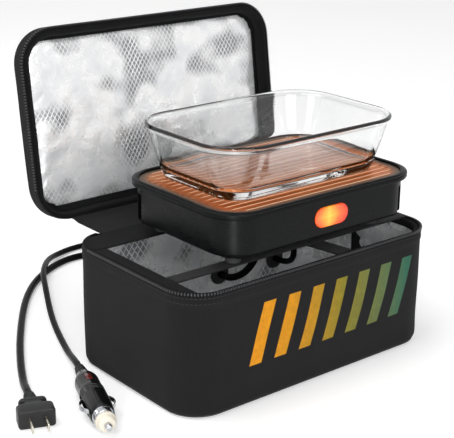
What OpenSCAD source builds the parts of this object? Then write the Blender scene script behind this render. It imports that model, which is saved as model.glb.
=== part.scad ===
// Electric lunch bag: a soft insulated bag with a zip-round lid, a flat heating
// base and a glass dish, fed by a mains cord and by a vehicle-socket cord.
// Millimetres, +Z up. The origin is the centre of the bag's base, on the floor.
// +X runs along the bag to the right, -Y is the front. The lid stands open.

/* [Bag] */
// Outside length of the bag
bag_l = 280; // [264:1:300]
// Outside width of the bag, front to back
bag_w = 172; // [170:1:190]
// Height of the bag up to its rim
bag_h = 110; // [108:1:130]
// Outside radius of the bag's upright corners
bag_r = 32; // [24:1:38]
// Thickness of the woven cover
cover_t = 1.5; // [1:0.1:2]
// Thickness of the foam in walls and floor
pad_t = 3.5; // [2.5:0.1:3.6]
// Thickness of the quilted foil lining
liner_t = 1; // [0.6:0.1:1.2]
// Thickness of the stiff board under the floor pad
board_t = 2.5; // [1.5:0.1:3]
// Height of the binding that closes the wall's top
binding_h = 6.4; // [4:0.1:9]
// Width of the fabric facing inside the left end of the rim
side_facing_w = 13; // [8:1:18]
// Width of the fabric facing inside the back of the rim
back_facing_w = 38; // [30:1:40]

/* [Lid] */
// Height of the lid, a shallow tray
lid_h = 20; // [18:1:26]
// Thickness of the foam in the lid's top
lid_pad_t = 5; // [3:0.5:6]
// Thickness of the foam in the lid's side band
lid_band_t = 2; // [1:0.5:2]
// Clearance between the lid's rim and the bag's rim when shut
lid_seam = 0.4; // [0.3:0.1:0.8]
// Angle the lid is open at rest
lid_open = 98; // [92:1:102]
// How far the fabric hinge lets the open lid stand behind the bag
hinge_shift = 44; // [40:1:50]

/* [Zip] */
// Distance from tooth to tooth along the row
tooth_pitch = 4; // [3:0.5:6]
// Width of a tooth along the row
tooth_w = 2; // [1:0.1:2.4]
// How far a tooth stands out of the tape
tooth_out = 1.2; // [0.8:0.1:1.4]
// Height of the zip's tape that shows on each rim
tape_h = 3; // [2.6:0.1:3.4]
// Length of the slider
slider_l = 9; // [7:0.5:12]
// Length of the pull tab
pull_l = 26; // [18:1:32]
// Travel of the slider along the straight of the right side
slider_travel = 88; // [60:1:94]

/* [Straps and handle] */
// Width of the lengthwise hold-down strap
strap_w = 14; // [12:1:20]
// Width of the cross strap and of the wall strap
cross_w = 18; // [14:1:22]
// Thickness of the webbing
strap_t = 1.6; // [1.2:0.1:2]
// Place of the lengthwise strap, front to back
strap_y = -44; // [-46:1:-42]
// Place of the cross strap along the bag, at the middle of its run
cross_x = 19; // [10:1:30]
// Lean of the cross strap
cross_lean = 9; // [0:1:10]
// Length of the carry handle on the lid
handle_l = 150; // [120:1:180]
// Width of the carry handle
handle_w = 26; // [20:1:32]
// Height of the gap under the carry handle
handle_gap = 20; // [14:1:24]

/* [Heating base] */
// Length of the base over its lip
heater_l = 222; // [210:1:224]
// Width of the base over its lip
heater_w = 156; // [146:1:156]
// Radius of the lip's corners
lip_r = 34; // [28:1:40]
// Height from the body's lower edge to the top of the lip
heater_h = 39; // [36:1:42]
// Height of the lip's outer band
lip_h = 6; // [5:0.5:8]
// Width of the lip seen from above
lip_w = 6; // [5:0.5:8]
// How far the lip stands out over the body
lip_over = 5; // [3:0.5:6]
// Wall of the moulded body
body_t = 2.5; // [2:0.1:3]
// Height of the plinth under the body
plinth_h = 5; // [4:0.5:6]
// Distance from the body's edge to the plinth
plinth_in = 12; // [9:1:14]
// Height of the rubber feet
foot_h = 8; // [6:0.5:9]
// Diameter of the rubber feet
foot_d = 14; // [12:1:16]
// Place of the base along the bag
heater_x = 18; // [12:1:20]
// Place of the base, front to back
heater_y = 1; // [0:0.5:1]
// Width of the open slots at two corners of the body
slot_w = 8; // [6:0.5:10]
// Height of those slots
slot_h = 26; // [20:1:28]

/* [Heating plate] */
// Thickness of the heating plate
plate_t = 2.5; // [2:0.1:3]
// Depth of the plate below the top of the lip
plate_drop = 2; // [1.6:0.1:3]
// Distance between the plate's ribs
rib_pitch = 8; // [6:0.5:12]
// Width of a rib
rib_w = 1.6; // [1:0.1:2.4]
// Height of a rib
rib_h = 0.6; // [0.4:0.1:0.8]
// Plain border of the plate outside its ribs
plate_border = 7; // [5:1:10]

/* [Lens] */
// Length of the indicator lens
lens_l = 38; // [30:1:44]
// Height of the indicator lens
lens_h = 18; // [14:1:20]
// Place of the lens along the front, from the middle of the base
lens_x = 4; // [-20:1:24]
// How far the lens stands out of the front
lens_out = 1.4; // [0.8:0.1:2]

/* [Glass dish] */
// Length of the dish over its rim
dish_l = 206; // [190:1:208]
// Width of the dish over its rim
dish_w = 142; // [130:1:142]
// Height of the dish
dish_h = 50; // [40:1:52]
// Radius of the rim's corners
dish_r = 40; // [34:1:44]
// How much smaller the dish is at its foot, on each side
dish_draft = 15; // [8:1:16]
// Thickness of the glass
glass_t = 4; // [3:0.5:5]
// Place of the dish along the bag
dish_x = 20; // [18:1:22]
// Place of the dish, front to back
dish_y = 7; // [4:1:7]

/* [Cords] */
// Diameter of the mains cord
ac_d = 7; // [6.6:0.1:7.2]
// Diameter of the vehicle cord
dc_d = 6; // [5.6:0.1:6.2]
// Height of the cord port above the floor
port_z = 40; // [40:1:40]
// Turns of each cord's coil
coil_turns_n = 4; // [4:1:4]
// Outer radius of the mains cord's coil, to the cord's middle
ac_coil_r = 44; // [44:1:44]
// Outer radius of the vehicle cord's coil, to the cord's middle
dc_coil_r = 38; // [38:1:38]

/* [Mains plug] */
// Width of the mains plug
ac_plug_w = 30; // [28:1:34]
// Thickness of the mains plug
ac_plug_t = 16; // [16:0.5:16]
// Distance between the blades
blade_gap = 12.7; // [12.7:0.1:12.7]
// Length of the blades
blade_l = 17; // [16:0.5:18]

/* [Vehicle plug] */
// Radius of the vehicle plug's body
car_r = 11; // [11:0.1:11]
// Length of the vehicle plug's body
car_body_l = 72; // [68:1:76]
// Length of the metal collar in front of the body
collar_l = 9; // [7:0.5:11]
// Length of the nose cap
nose_l = 8; // [6:0.5:10]
// How far the centre contact stands out of the nose
tip_out = 6; // [5:0.5:7]
// How far the side contacts bow out of the body
contact_out = 4; // [3:0.5:5]

/* [Hidden] */
$fn = 48;

// Clearances
fit = 0.3;         // between pieces of different bodies
seat = 0.15;       // between rigid pieces of one body
eps = 0.01;        // overlap of cutting shapes

// Walls and floor of the bag
wall_t = cover_t + pad_t + liner_t;
floor_z = cover_t + board_t + pad_t + liner_t;
cavity_l = bag_l - 2 * wall_t;
cavity_w = bag_w - 2 * wall_t;
facing_z = bag_h - strap_t;
binding_z = facing_z - binding_h;
tape_z = bag_h - tape_h;
inside_l = bag_l - 2 * cover_t;
inside_w = bag_w - 2 * cover_t;
inside_r = bag_r - cover_t;
facing_x = -cavity_l / 2 + side_facing_w - pad_t - liner_t;
facing_y = cavity_w / 2 - back_facing_w + wall_t;

// Hinge of the lid: the middle of the folding fabric band
hinge_y = bag_w / 2 + hinge_shift / 2;
hinge_z = bag_h + lid_seam - hinge_shift / 2 / tan(lid_open / 2);
lid_z = bag_h + lid_seam;
lid_tape_top = lid_z + tape_h;
lid_top = lid_z + lid_h;
lid_recess_z = lid_top - cover_t - lid_pad_t - liner_t;
lid_in = cover_t + lid_band_t;
lid_edge = lid_in + liner_t;
flap_l = bag_l - 2 * bag_r;

// Heating base: levels from the straps up
foot_z = bag_h + fit;
plinth_z = foot_z + foot_h;
body_z = plinth_z + plinth_h;
lip_top = body_z + heater_h;
lip_z = lip_top - lip_h;
body_l = heater_l - 2 * lip_over;
body_w = heater_w - 2 * lip_over;
body_r = lip_r - lip_over;
well_l = body_l - 2 * body_t;
well_w = body_w - 2 * body_t;
well_r = body_r - body_t;
plate_top = lip_top - plate_drop;
plate_z = plate_top - plate_t;
plate_l = heater_l - 2 * lip_w - 2 * seat;
plate_w = heater_w - 2 * lip_w - 2 * seat;
plate_r = lip_r - lip_w - seat;
seat_ledge = 1;
lip_step = 2;
lip_bead = 2.6;
lip_flange = 1.4;
lip_in_l = heater_l - 2 * (lip_over + body_t + seat_ledge);
lip_in_w = heater_w - 2 * (lip_over + body_t + seat_ledge);
element_t = 1;
element_z = plate_z - element_t;
mat_t = 5;
mat_z = element_z - mat_t;
ledge_t = 2;
ledge_w = 5;
ledge_z = mat_z - ledge_t;
cover_plate_t = 2.5;
floor_top = body_z + cover_plate_t;
plinth_l = body_l - 2 * plinth_in;
plinth_w = body_w - 2 * plinth_in;
plinth_r = body_r - plinth_in;
foot_x = plinth_l / 2 - foot_d;
front_foot_y = strap_y - heater_y;
back_foot_y = plinth_w / 2 - foot_d / 2 - 1;
front_y = heater_y - body_w / 2;
lens_z = body_z + heater_h / 2 - 2;
boss_d = 9;
boss_x = well_l / 2 - 22;
boss_y = well_w / 2 - 17;
screw_d = 3.2;
screw_head_d = 6.4;
screw_head_h = 2.4;
screw_l = 14;
post_h = 5;
board_z = floor_top + post_h;
board_l = 76;
board_w = 44;
board_x = -18;
board_y = -30;
pcb_t = 1.6;
supply_l = 20;
supply_w = 16;
supply_h = 10;
relay_l = 19;
relay_w = 15;
relay_h = 8;
capacitor_d = 6;
capacitor_h = 9;
gland_d = 11;
gland_h = 6;

// Glass dish
dish_z = plate_top + rib_h + fit;
dish_base_l = dish_l - 2 * dish_draft;
dish_base_w = dish_w - 2 * dish_draft;
dish_base_r = dish_r - dish_draft;
dish_rim_h = 5;
dish_rim_out = 2.5;
foot_ring_h = 3;

// Cords: routes in millimetres, hand-placed
port_y = bag_w / 2;
port_ac_x = 24;
port_dc_x = 94;
port_hole_d = 14;
port_flange_d = 21;
port_flange = 1.5;
sleeve_l = 20;
coil_step = 0.6;
ac_layer = ac_d + coil_step;
dc_layer = dc_d + coil_step;
ac_coil_at = [48, 178];
dc_coil_at = [138, 170];
ac_low = ac_d / 2;
dc_low = dc_d / 2;
ac_high = ac_low + ac_layer;
dc_high = dc_low + dc_layer;
sleeve_end = port_y + port_flange + sleeve_l;
port_in_y = port_y - wall_t - seat - port_flange;

ac_lead_points = [[24, sleeve_end, port_z], [23.4, 116, 39.1], [21.8, 123.3, 36.4],
    [19.2, 129.5, 32.2], [16.8, 134.4, 26.8], [14.9, 137.8, 21.4], [12.2, 142.4, 14.6],
    [9, 148.4, 9.2], [6, 155.4, 5.4], [4.4, 161.8, 3.8], [4, 167, 3.5], [4, 171, 3.5]];
ac_run_points = [[4, 185, ac_high], [4, 189, ac_high], [4.4, 197, 10.4], [6.8, 208, 8],
    [11.5, 220, 5.7], [17, 232, 4.2],
    [21.2, 244, 3.6], [22, 254, 3.5], [19.8, 265.2, 3.5], [13.6, 274.8, 3.5], [4.2, 281.4, 3.5],
    [-8, 284, 3.5], [-24, 282, 3.5], [-44, 274, 3.5], [-66, 260, 3.5], [-89, 240, 3.5], [-113, 212, 3.5],
    [-139, 175, 3.5], [-168, 129, 3.5], [-191, 88, 3.5], [-206, 58, 4.4], [-213, 41.7, 6.8],
    [-216.6, 32.9, 8], [-218.4, 28.4, 8]];
dc_lead_points = [[94, sleeve_end, port_z], [94.1, 115.6, 39.1], [94.6, 122.4, 36.5],
    [95.3, 128.4, 32.3], [96, 132.9, 27.2], [96.7, 136.4, 21.2], [97.6, 141, 14],
    [98.5, 146.8, 8.4], [99.4, 153.4, 4.8], [99.9, 159.5, 3.3], [100, 164, 3]];
dc_run_points = [[100, 176, dc_high], [100, 180, dc_high], [100.3, 187, 8.9],
    [101.3, 197, 6.6], [103, 209, 4.4],
    [105, 222, 3.3], [105, 240, 3], [100, 262, 3], [89, 281, 3], [72, 297, 3], [50, 306, 3],
    [25, 310, 3], [0, 309, 3.2], [-23, 300, 4.6], [-41, 286, 7.6], [-58, 266, 10.6],
    [-73, 244, 11.2], [-86, 219, 9.2], [-99, 193, 6], [-112, 166, 3.8], [-125, 136, 3.1],
    [-137, 105, 3.4], [-146, 81.5, 5.2], [-153, 63, 8.5], [-158, 49.7, 10.6],
    [-161.4, 40.7, 11]];
// Leads inside the bag, from the base's glands down to the ports
// Each point is [share of the way across, share of the way back, height]
gland_y = 37;
gland_ac_x = 38;
gland_dc_x = 78;
inner_top = plinth_z - gland_h - seat;
inner_way = [[0, 0, inner_top], [0, 0, inner_top - 9.15], [0.012, 0, 89], [0.09, 0.007, 77],
    [0.28, 0.044, 66.5], [0.5, 0.131, 57.5], [0.715, 0.266, 50], [0.887, 0.435, 44.7],
    [0.983, 0.629, 41.3], [1, 0.822, port_z], [1, 1, port_z]];
function inner_path(x0, x1) = [for (p = inner_way)
    [x0 + p[0] * (x1 - x0), gland_y + p[1] * (port_in_y - seat - gland_y), p[2]]];
ac_inner_points = inner_path(gland_ac_x, port_ac_x);
dc_inner_points = inner_path(gland_dc_x, port_dc_x);

// Plugs: where they start, and the way they point on the floor
ac_plug_at = [-218.5, 28.2, ac_plug_t / 2];
ac_heading = 248.3;
ac_relief_l = 16;
ac_neck_l = 13;
ac_block_l = 14;
blade_w = 6.3;
blade_t = 1.5;
blade_hole_r = 1.6;
car_plug_at = [-161.4, 40.7, car_r];
car_heading = 249.1;
car_relief_l = 18;
car_tail_l = 14;
collar_r = 9;
nose_r = 7.5;
tip_r = 3;
tip_bore_l = 24;
contact_w = 4;
contact_t = 0.7;
contact_chord = 26;
contact_mid = car_relief_l + car_body_l - 20;
collar_z = car_relief_l + car_body_l;
nose_z = collar_z + collar_l;
fuse_r = 3.2;
fuse_l = 30;
spring_wire = 0.8;
spring_r = fuse_r - 0.6;
spring_turns = 9;
spring_l = tip_bore_l + collar_l - 3 - 2 * fit - spring_wire;

// ---- Shapes used by several pieces ----

// A flat slab with round upright corners, standing on z = 0
module slab(l, w, r, h) {
    linear_extrude(h) {
        square([l - 2 * r, w], center = true);
        square([l, w - 2 * r], center = true);
        for (x = [-1, 1], y = [-1, 1])
            translate([x * (l / 2 - r), y * (w / 2 - r)])
                circle(r);
    }
}

// An upright band that follows the outline of a slab
module band(l, w, r, t, h) {
    difference() {
        slab(l, w, r, h);
        translate([0, 0, -eps])
            slab(l - 2 * t, w - 2 * t, r - t, h + 2 * eps);
    }
}

// A tray: a slab hollowed from above, or from below with flip
module tray(l, w, r, t, floor_t, h, flip = false) {
    difference() {
        slab(l, w, r, h);
        translate([0, 0, flip ? -eps : floor_t])
            slab(l - 2 * t, w - 2 * t, r - t, h - floor_t + eps);
    }
}

// A stadium, longer along X, extruded upwards
module stadium(l, w, h) {
    slab(l, w, w / 2 - eps, h);
}

// Where the lid's pieces go: drawn shut, then swung open about the hinge
module opened() {
    translate([0, hinge_y, hinge_z])
        rotate([-lid_open, 0, 0])
            translate([0, -hinge_y, -hinge_z])
                children();
}

module at_heater(z) {
    translate([heater_x, heater_y, z])
        children();
}

// Plug frames: Z runs along the plug, -X is up
module at_ac_plug(z = 0) {
    translate(ac_plug_at)
        rotate([0, 90, ac_heading])
            translate([0, 0, z])
                children();
}

module at_car_plug(z = 0) {
    translate(car_plug_at)
        rotate([0, 90, car_heading])
            translate([0, 0, z])
                children();
}

// ---- Cord geometry ----

function unit(v) = v / norm(v);
function knot(p, i) = p[max(0, min(len(p) - 1, i))];
function bend(a, b, c, d, t) = 0.5 * (2 * b + (c - a) * t + (2 * a - 5 * b + 4 * c - d) * t * t
    + (3 * b - a - 3 * c + d) * t * t * t);
function smooth(p, n) = concat([for (i = [0 : len(p) - 2], k = [0 : n - 1])
    bend(knot(p, i - 1), p[i], p[i + 1], knot(p, i + 2), k / n)], [p[len(p) - 1]]);
function heading(p, i) = unit(knot(p, i + 1) - knot(p, i - 1));
function hoop(c, dir, r, n, ref) = let (a = unit(cross(ref, dir)), b = cross(dir, a))
    [for (j = [0 : n - 1]) c + r * (cos(360 * j / n) * a + sin(360 * j / n) * b)];

// A closed tube of n sides swept along the points of path
module tube(path, d, n = 8, ref = [0, 0, 1]) {
    last = len(path) - 1;
    points = [for (i = [0 : last]) each hoop(path[i], heading(path, i), d / 2, n, ref)];
    side = [for (i = [0 : last - 1], j = [0 : n - 1]) let (k = (j + 1) % n, a = i * n, b = a + n)
        each [[a + j, b + j, b + k], [a + j, b + k, a + k]]];
    near_end = [for (j = [1 : n - 2]) [0, j, j + 1]];
    far_end = [for (j = [1 : n - 2]) [last * n, last * n + j + 1, last * n + j]];
    polyhedron(points, concat(near_end, side, far_end), convexity = 10);
}

// A coil in two layers: the cord spirals in below, climbs in the half turn where
// the spiral reverses, and spirals out above. sense is 1 against the clock.
coil_rings = 24;
function climb(u, turns) = let (t = max(0, min(1, (u - turns / 2 + 0.25) * 2))) t * t * (3 - 2 * t);
function coil_spot(u, at, r, turns, pitch, low, from, sense) =
    let (a = from + sense * 360 * u, rad = r - pitch * min(u, turns - u))
    [at[0] + rad * cos(a), at[1] + rad * sin(a), low + pitch * climb(u, turns)];
function coil_turns(at, r, turns, pitch, low, from, sense) =
    [for (k = [0 : coil_rings * turns]) coil_spot(k / coil_rings, at, r, turns, pitch, low, from, sense)];
function coil_path(at, r, turns, pitch, low, from, sense, d) =
    let (body = coil_turns(at, r, turns, pitch, low, from, sense), last = len(body) - 1,
        to = from + sense * 360 * turns,
        way_in = sense * [-sin(from), cos(from), 0], way_out = sense * [-sin(to), cos(to), 0])
    concat([body[0] - d * way_in], body, [body[last] + d * way_out]);
// Least gap between stretches of the coil that are half a turn or more apart
function coil_gap(p, d) = min([for (i = [0 : len(p) - 1], j = [i + coil_rings / 2 : len(p) - 1])
    norm(p[i] - p[j])]) - d;
function path_length(p) = len(p) < 2 ? 0 : [for (i = 1, s = norm(p[1] - p[0]); i < len(p);
    i = i + 1, s = s + (i < len(p) ? norm(p[i] - p[i - 1]) : 0)) s][len(p) - 2];

ac_coil_path = coil_path(ac_coil_at, ac_coil_r, coil_turns_n, ac_layer, ac_low, 180, -1, ac_d);
dc_coil_path = coil_path(dc_coil_at, dc_coil_r, coil_turns_n, dc_layer, dc_low, 180, -1, dc_d);
echo(ac_coil_gap = coil_gap(ac_coil_path, ac_d), dc_coil_gap = coil_gap(dc_coil_path, dc_d));
echo(ac_cord_length = path_length(smooth(ac_lead_points, 2)) + path_length(ac_coil_path)
    + path_length(smooth(ac_run_points, 2)));
echo(dc_cord_length = path_length(smooth(dc_lead_points, 2)) + path_length(dc_coil_path)
    + path_length(smooth(dc_run_points, 2)));

// ---- The bag ----

// The openings in the back wall for the cords' ports
module port_cut() {
    for (x = [port_ac_x, port_dc_x])
        translate([x, bag_w / 2 + 1, port_z])
            rotate([90, 0, 0])
                cylinder(d = port_hole_d, h = wall_t + 2);
}

module bag_cover() {
    color("#1b1b1d")
        difference() {
            tray(bag_l, bag_w, bag_r, cover_t, cover_t, tape_z);
            port_cut();
        }
}

module base_board() {
    color("#3a3a3c")
        translate([0, 0, cover_t])
            slab(inside_l - 2 * seat, inside_w - 2 * seat, inside_r - seat, board_t);
}

module wall_foam() {
    color("#4a4a4e")
        difference() {
            translate([0, 0, cover_t + board_t])
                tray(inside_l, inside_w, inside_r, pad_t, pad_t, binding_z - cover_t - board_t);
            port_cut();
        }
}

module foil_liner() {
    color("#c9ccd1")
        difference() {
            translate([0, 0, cover_t + board_t + pad_t])
                tray(cavity_l + 2 * liner_t, cavity_w + 2 * liner_t, bag_r - wall_t + liner_t,
                    liner_t, liner_t, binding_z - cover_t - board_t - pad_t);
            port_cut();
        }
}

module rim_binding() {
    color("#141415")
        translate([0, 0, binding_z])
            band(inside_l, inside_w, inside_r, pad_t + liner_t, binding_h);
}

// The facings lie on the binding and reach inwards over the cavity
module rim_facing(h) {
    slab(inside_l - 2 * seat, inside_w - 2 * seat, inside_r - seat, h);
}

module left_facing() {
    color("#171719")
        translate([0, 0, facing_z])
            intersection() {
                rim_facing(strap_t);
                translate([-bag_l / 2, -bag_w / 2, -eps])
                    cube([facing_x + bag_l / 2, facing_y + bag_w / 2, strap_t + 2 * eps]);
            }
}

module back_facing() {
    color("#171719")
        translate([0, 0, facing_z])
            intersection() {
                rim_facing(strap_t);
                translate([-bag_l / 2, facing_y, -eps])
                    cube([bag_l, cavity_w / 2 - facing_y, strap_t + 2 * eps]);
            }
}

module long_strap() {
    color("#151516")
        translate([facing_x, strap_y - strap_w / 2, facing_z])
            cube([cavity_l / 2 + wall_t - cover_t - seat - facing_x, strap_w, strap_t]);
}

module cross_strap() {
    color("#151516")
        intersection() {
            translate([cross_x, 0, facing_z - strap_t])
                rotate([0, 0, cross_lean])
                    translate([-cross_w / 2, -bag_w, 0])
                        cube([cross_w, 2 * bag_w, strap_t]);
            translate([-bag_l / 2, -cavity_w / 2, 0])
                cube([bag_l, cavity_w / 2 + facing_y + 10, bag_h]);
        }
}

module wall_strap() {
    color("#151516")
        translate([cavity_l / 2 - strap_t, 3 - cross_w / 2, 34])
            cube([strap_t, cross_w, facing_z - 34]);
}

// One tooth of a zip row, standing outwards from its place on the outline
module tooth(h) {
    translate([-0.4, -tooth_w / 2, 0])
        cube([tooth_out + 0.4, tooth_w, h]);
}

// A row of teeth along the left, front and right of the rim's outline
module tooth_row(h, shift) {
    side_n = floor((bag_w / 2 - bag_r) / tooth_pitch);
    front_n = floor((bag_l / 2 - bag_r) / tooth_pitch);
    corner_n = floor(bag_r * PI / 2 / tooth_pitch);
    for (k = [-side_n : side_n - 1]) {
        translate([-bag_l / 2, (k + shift) * tooth_pitch, 0])
            rotate([0, 0, 180])
                tooth(h);
        translate([bag_l / 2, (k + shift) * tooth_pitch, 0])
            tooth(h);
    }
    for (k = [-front_n : front_n - 1])
        translate([(k + shift) * tooth_pitch, -bag_w / 2, 0])
            rotate([0, 0, -90])
                tooth(h);
    for (k = [0 : corner_n - 1], side = [-1, 1])
        translate([side * (bag_l / 2 - bag_r), -bag_w / 2 + bag_r, 0])
            rotate([0, 0, -90 + side * (k + shift) * 90 / corner_n])
                translate([bag_r, 0, 0])
                    tooth(h);
}

module bag_zip_row() {
    color("#2a2a2c") {
        difference() {
            translate([0, 0, tape_z])
                band(bag_l, bag_w, bag_r, cover_t, tape_h);
            translate([-flap_l / 2 - seat, cavity_w / 2, facing_z])
                cube([flap_l + 2 * seat, wall_t + 1, strap_t + 1]);
        }
        translate([0, 0, bag_h - 2.2])
            tooth_row(2.2, 0.5);
    }
}

// The slider clasps the row from outside; its pull hangs from a bail
slider_x = bag_l / 2 + tooth_out + fit;
slider_y = slider_travel / 2;
slider_plate_t = 1.2;
slider_drop = 6;
slider_hook_h = 1.2;
bail_r = 1.8;
pull_t = 1.4;
pull_pin_z = bag_h - 2.4;
pull_pin_x = slider_x + slider_plate_t + bail_r;

module zip_slider() {
    color("#8d9096")
        translate([slider_x, slider_y - slider_l / 2, 0])
            difference() {
                union() {
                    translate([0, 0, bag_h - slider_drop])
                        cube([slider_plate_t, slider_l, slider_drop + 2]);
                    translate([-tooth_out, 0, bag_h - slider_drop])
                        cube([tooth_out + slider_plate_t, slider_l, slider_hook_h]);
                    for (y = [1, slider_l - 2.2])
                        translate([slider_plate_t - eps, y, pull_pin_z - 1.6])
                            cube([2 * bail_r + eps, 1.2, 3.2]);
                }
                translate([slider_plate_t + bail_r, -eps, pull_pin_z])
                    rotate([-90, 0, 0])
                        cylinder(r = 0.75, h = slider_l + 2 * eps);
            }
}

module zip_pull() {
    color("#8d9096")
        translate([pull_pin_x, slider_y, pull_pin_z])
            union() {
                rotate([-90, 0, 0])
                    translate([0, 0, -slider_l / 2 + 1])
                        cylinder(r = 0.7, h = slider_l - 2);
                difference() {
                    translate([-pull_t / 2, 0, -pull_l])
                        rotate([90, 0, 90])
                            linear_extrude(pull_t)
                                polygon([[-1.9, pull_l + 0.7], [1.9, pull_l + 0.7],
                                    [3.4, 2], [2.4, 0], [-2.4, 0], [-3.4, 2]]);
                    translate([-pull_t, 0, 5 - pull_l])
                        rotate([0, 90, 0])
                            cylinder(r = 1.6, h = 2 * pull_t);
                }
            }
}

// Moulded ports in the back wall, each with a sleeve for its cord
module cord_ports() {
    color("#202022")
        for (cord = [[port_ac_x, ac_d], [port_dc_x, dc_d]])
            translate([cord[0], port_y + port_flange, port_z]) {
                rotate([90, 0, 0]) {
                    cylinder(d = port_flange_d, h = port_flange - seat);
                    cylinder(d = port_hole_d - 2 * seat, h = wall_t + port_flange + seat + eps);
                    translate([0, 0, wall_t + port_flange + seat])
                        cylinder(d = port_flange_d, h = port_flange);
                }
                translate([0, -eps, 0])
                    rotate([-90, 0, 0])
                        cylinder(r1 = cord[1] / 2 + 2.4, r2 = cord[1] / 2 + 0.8, h = sleeve_l + eps);
            }
}

module hinge_flap() {
    color("#18181a")
        translate([-flap_l / 2, cavity_w / 2 + seat, facing_z])
            cube([flap_l, bag_w / 2 + hinge_shift - cavity_w / 2 - fit - seat, strap_t - 0.2]);
}

// ---- The lid, drawn shut ----

module lid_cover() {
    color("#1b1b1d")
        opened()
            translate([0, 0, lid_tape_top])
                tray(bag_l, bag_w, bag_r, cover_t, cover_t, lid_top - lid_tape_top, flip = true);
}

module lid_foam() {
    color("#4a4a4e")
        opened()
            translate([0, 0, lid_tape_top])
                tray(inside_l, inside_w, inside_r, lid_band_t, lid_pad_t,
                    lid_top - cover_t - lid_tape_top, flip = true);
}

module lid_liner() {
    color("#c9ccd1")
        opened()
            translate([0, 0, lid_tape_top])
                tray(bag_l - 2 * lid_in, bag_w - 2 * lid_in, bag_r - lid_in, liner_t, liner_t,
                    lid_recess_z + liner_t - lid_tape_top, flip = true);
}

module lid_binding() {
    color("#141415")
        opened()
            translate([0, 0, lid_z + 0.2])
                band(inside_l, inside_w, inside_r, lid_band_t + liner_t, tape_h - 0.2);
}

module lid_zip_row() {
    color("#2a2a2c")
        opened() {
            translate([0, 0, lid_z])
                band(bag_l, bag_w, bag_r, cover_t, tape_h);
            translate([0, 0, lid_z])
                tooth_row(2.2, 0);
        }
}

// Webbing handle: two sewn ends and a low arch over the hand's gap
module carry_handle() {
    rise = handle_gap + strap_t;
    lean = handle_l / 2 - 34;
    color("#19191b")
        opened()
            translate([0, handle_w / 2, lid_top])
                rotate([90, 0, 0])
                    linear_extrude(handle_w)
                        difference() {
                            polygon([[-handle_l / 2, 0], [-handle_l / 2, strap_t],
                                [-lean - 8, strap_t], [-lean + 4, rise], [lean - 4, rise],
                                [lean + 8, strap_t], [handle_l / 2, strap_t], [handle_l / 2, 0]]);
                            polygon([[-lean - 5, -eps], [-lean + 6, handle_gap],
                                [lean - 6, handle_gap], [lean + 5, -eps]]);
                        }
}

// ---- The heating base ----

// Slots open downwards at the left-back and right-front corners of the body
module corner_slots() {
    translate([-body_l / 2 - 1, body_w / 2 - body_r + 5, -eps])
        cube([15, slot_w, slot_h]);
    translate([body_l / 2 - body_r + 11, -body_w / 2 - 1, -eps])
        cube([slot_w, 15, slot_h]);
}

module heater_body() {
    color("#232426")
        at_heater(body_z)
            difference() {
                union() {
                    band(body_l, body_w, body_r, body_t, lip_z - body_z);
                    translate([0, 0, ledge_z - body_z])
                        band(well_l + eps, well_w + eps, well_r, ledge_w, ledge_t);
                    for (x = [-1, 1], y = [-1, 1])
                        translate([x * boss_x, y * boss_y, cover_plate_t + seat]) {
                            cylinder(d = boss_d, h = ledge_z + ledge_t - floor_top - seat);
                            translate([-1, y > 0 ? 0 : boss_y - well_w / 2, 0])
                                cube([2, well_w / 2 - boss_y, ledge_z + ledge_t - floor_top - seat]);
                        }
                }
                for (x = [-1, 1], y = [-1, 1])
                    translate([x * boss_x, y * boss_y, cover_plate_t])
                        cylinder(d = screw_d + 0.1, h = screw_l);
                translate([lens_x, -body_w / 2 - 1, lens_z - body_z])
                    rotate([-90, 0, 0])
                        stadium(lens_l, lens_h, body_t + 2);
                corner_slots();
            }
}

// The lip: an outer band, a flat step and a raised inner bead
module heater_lip() {
    color("#161718")
        at_heater(lip_z) {
            band(heater_l, heater_w, lip_r, lip_over + body_t + seat_ledge, lip_flange);
            band(heater_l, heater_w, lip_r, lip_w - lip_step / 2, lip_h - lip_step / 2);
            translate([0, 0, lip_h - lip_bead])
                band(heater_l - 2 * lip_step, heater_w - 2 * lip_step, lip_r - lip_step,
                    lip_w - lip_step, lip_bead);
        }
}

module heating_plate() {
    rib_n = floor((plate_w / 2 - plate_border) / rib_pitch);
    color("#b8622a")
        at_heater(plate_z) {
            slab(plate_l, plate_w, plate_r, plate_t);
            intersection() {
                for (k = [-rib_n : rib_n])
                    translate([-plate_l / 2, k * rib_pitch - rib_w / 2, plate_t - eps])
                        cube([plate_l, rib_w, rib_h + eps]);
                slab(plate_l - 2 * plate_border, plate_w - 2 * plate_border,
                    plate_r - plate_border, plate_t + rib_h + 1);
            }
        }
}

// A foil track that runs to and fro under the plate
module heating_element() {
    run_w = 10;
    runs = 6;
    reach = plate_l / 2 - 22;
    step = (well_w - 2 * ledge_w - 2 * run_w) / (2 * runs - 1);
    color("#9a9da3")
        at_heater(element_z)
            for (k = [0 : 2 * runs - 1]) {
                y = (k - runs + 0.5) * step;
                translate([-reach, y - run_w / 4, 0])
                    cube([2 * reach, run_w / 2, element_t]);
                if (k < 2 * runs - 1)
                    translate([k % 2 == 0 ? reach - run_w / 2 : -reach, y - run_w / 4, 0])
                        cube([run_w / 2, step + run_w / 2, element_t]);
            }
}

module insulation_pad() {
    color("#d8d4c8")
        at_heater(mat_z)
            slab(lip_in_l - 2 * seat, lip_in_w - 2 * seat, well_r - seat_ledge - seat, mat_t);
}

module thermal_cutout() {
    color("#c8a070")
        at_heater(mat_z - 8) {
            cylinder(d = 14, h = 8);
            translate([-12, -2, 6])
                cube([24, 4, 2]);
        }
}

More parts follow.
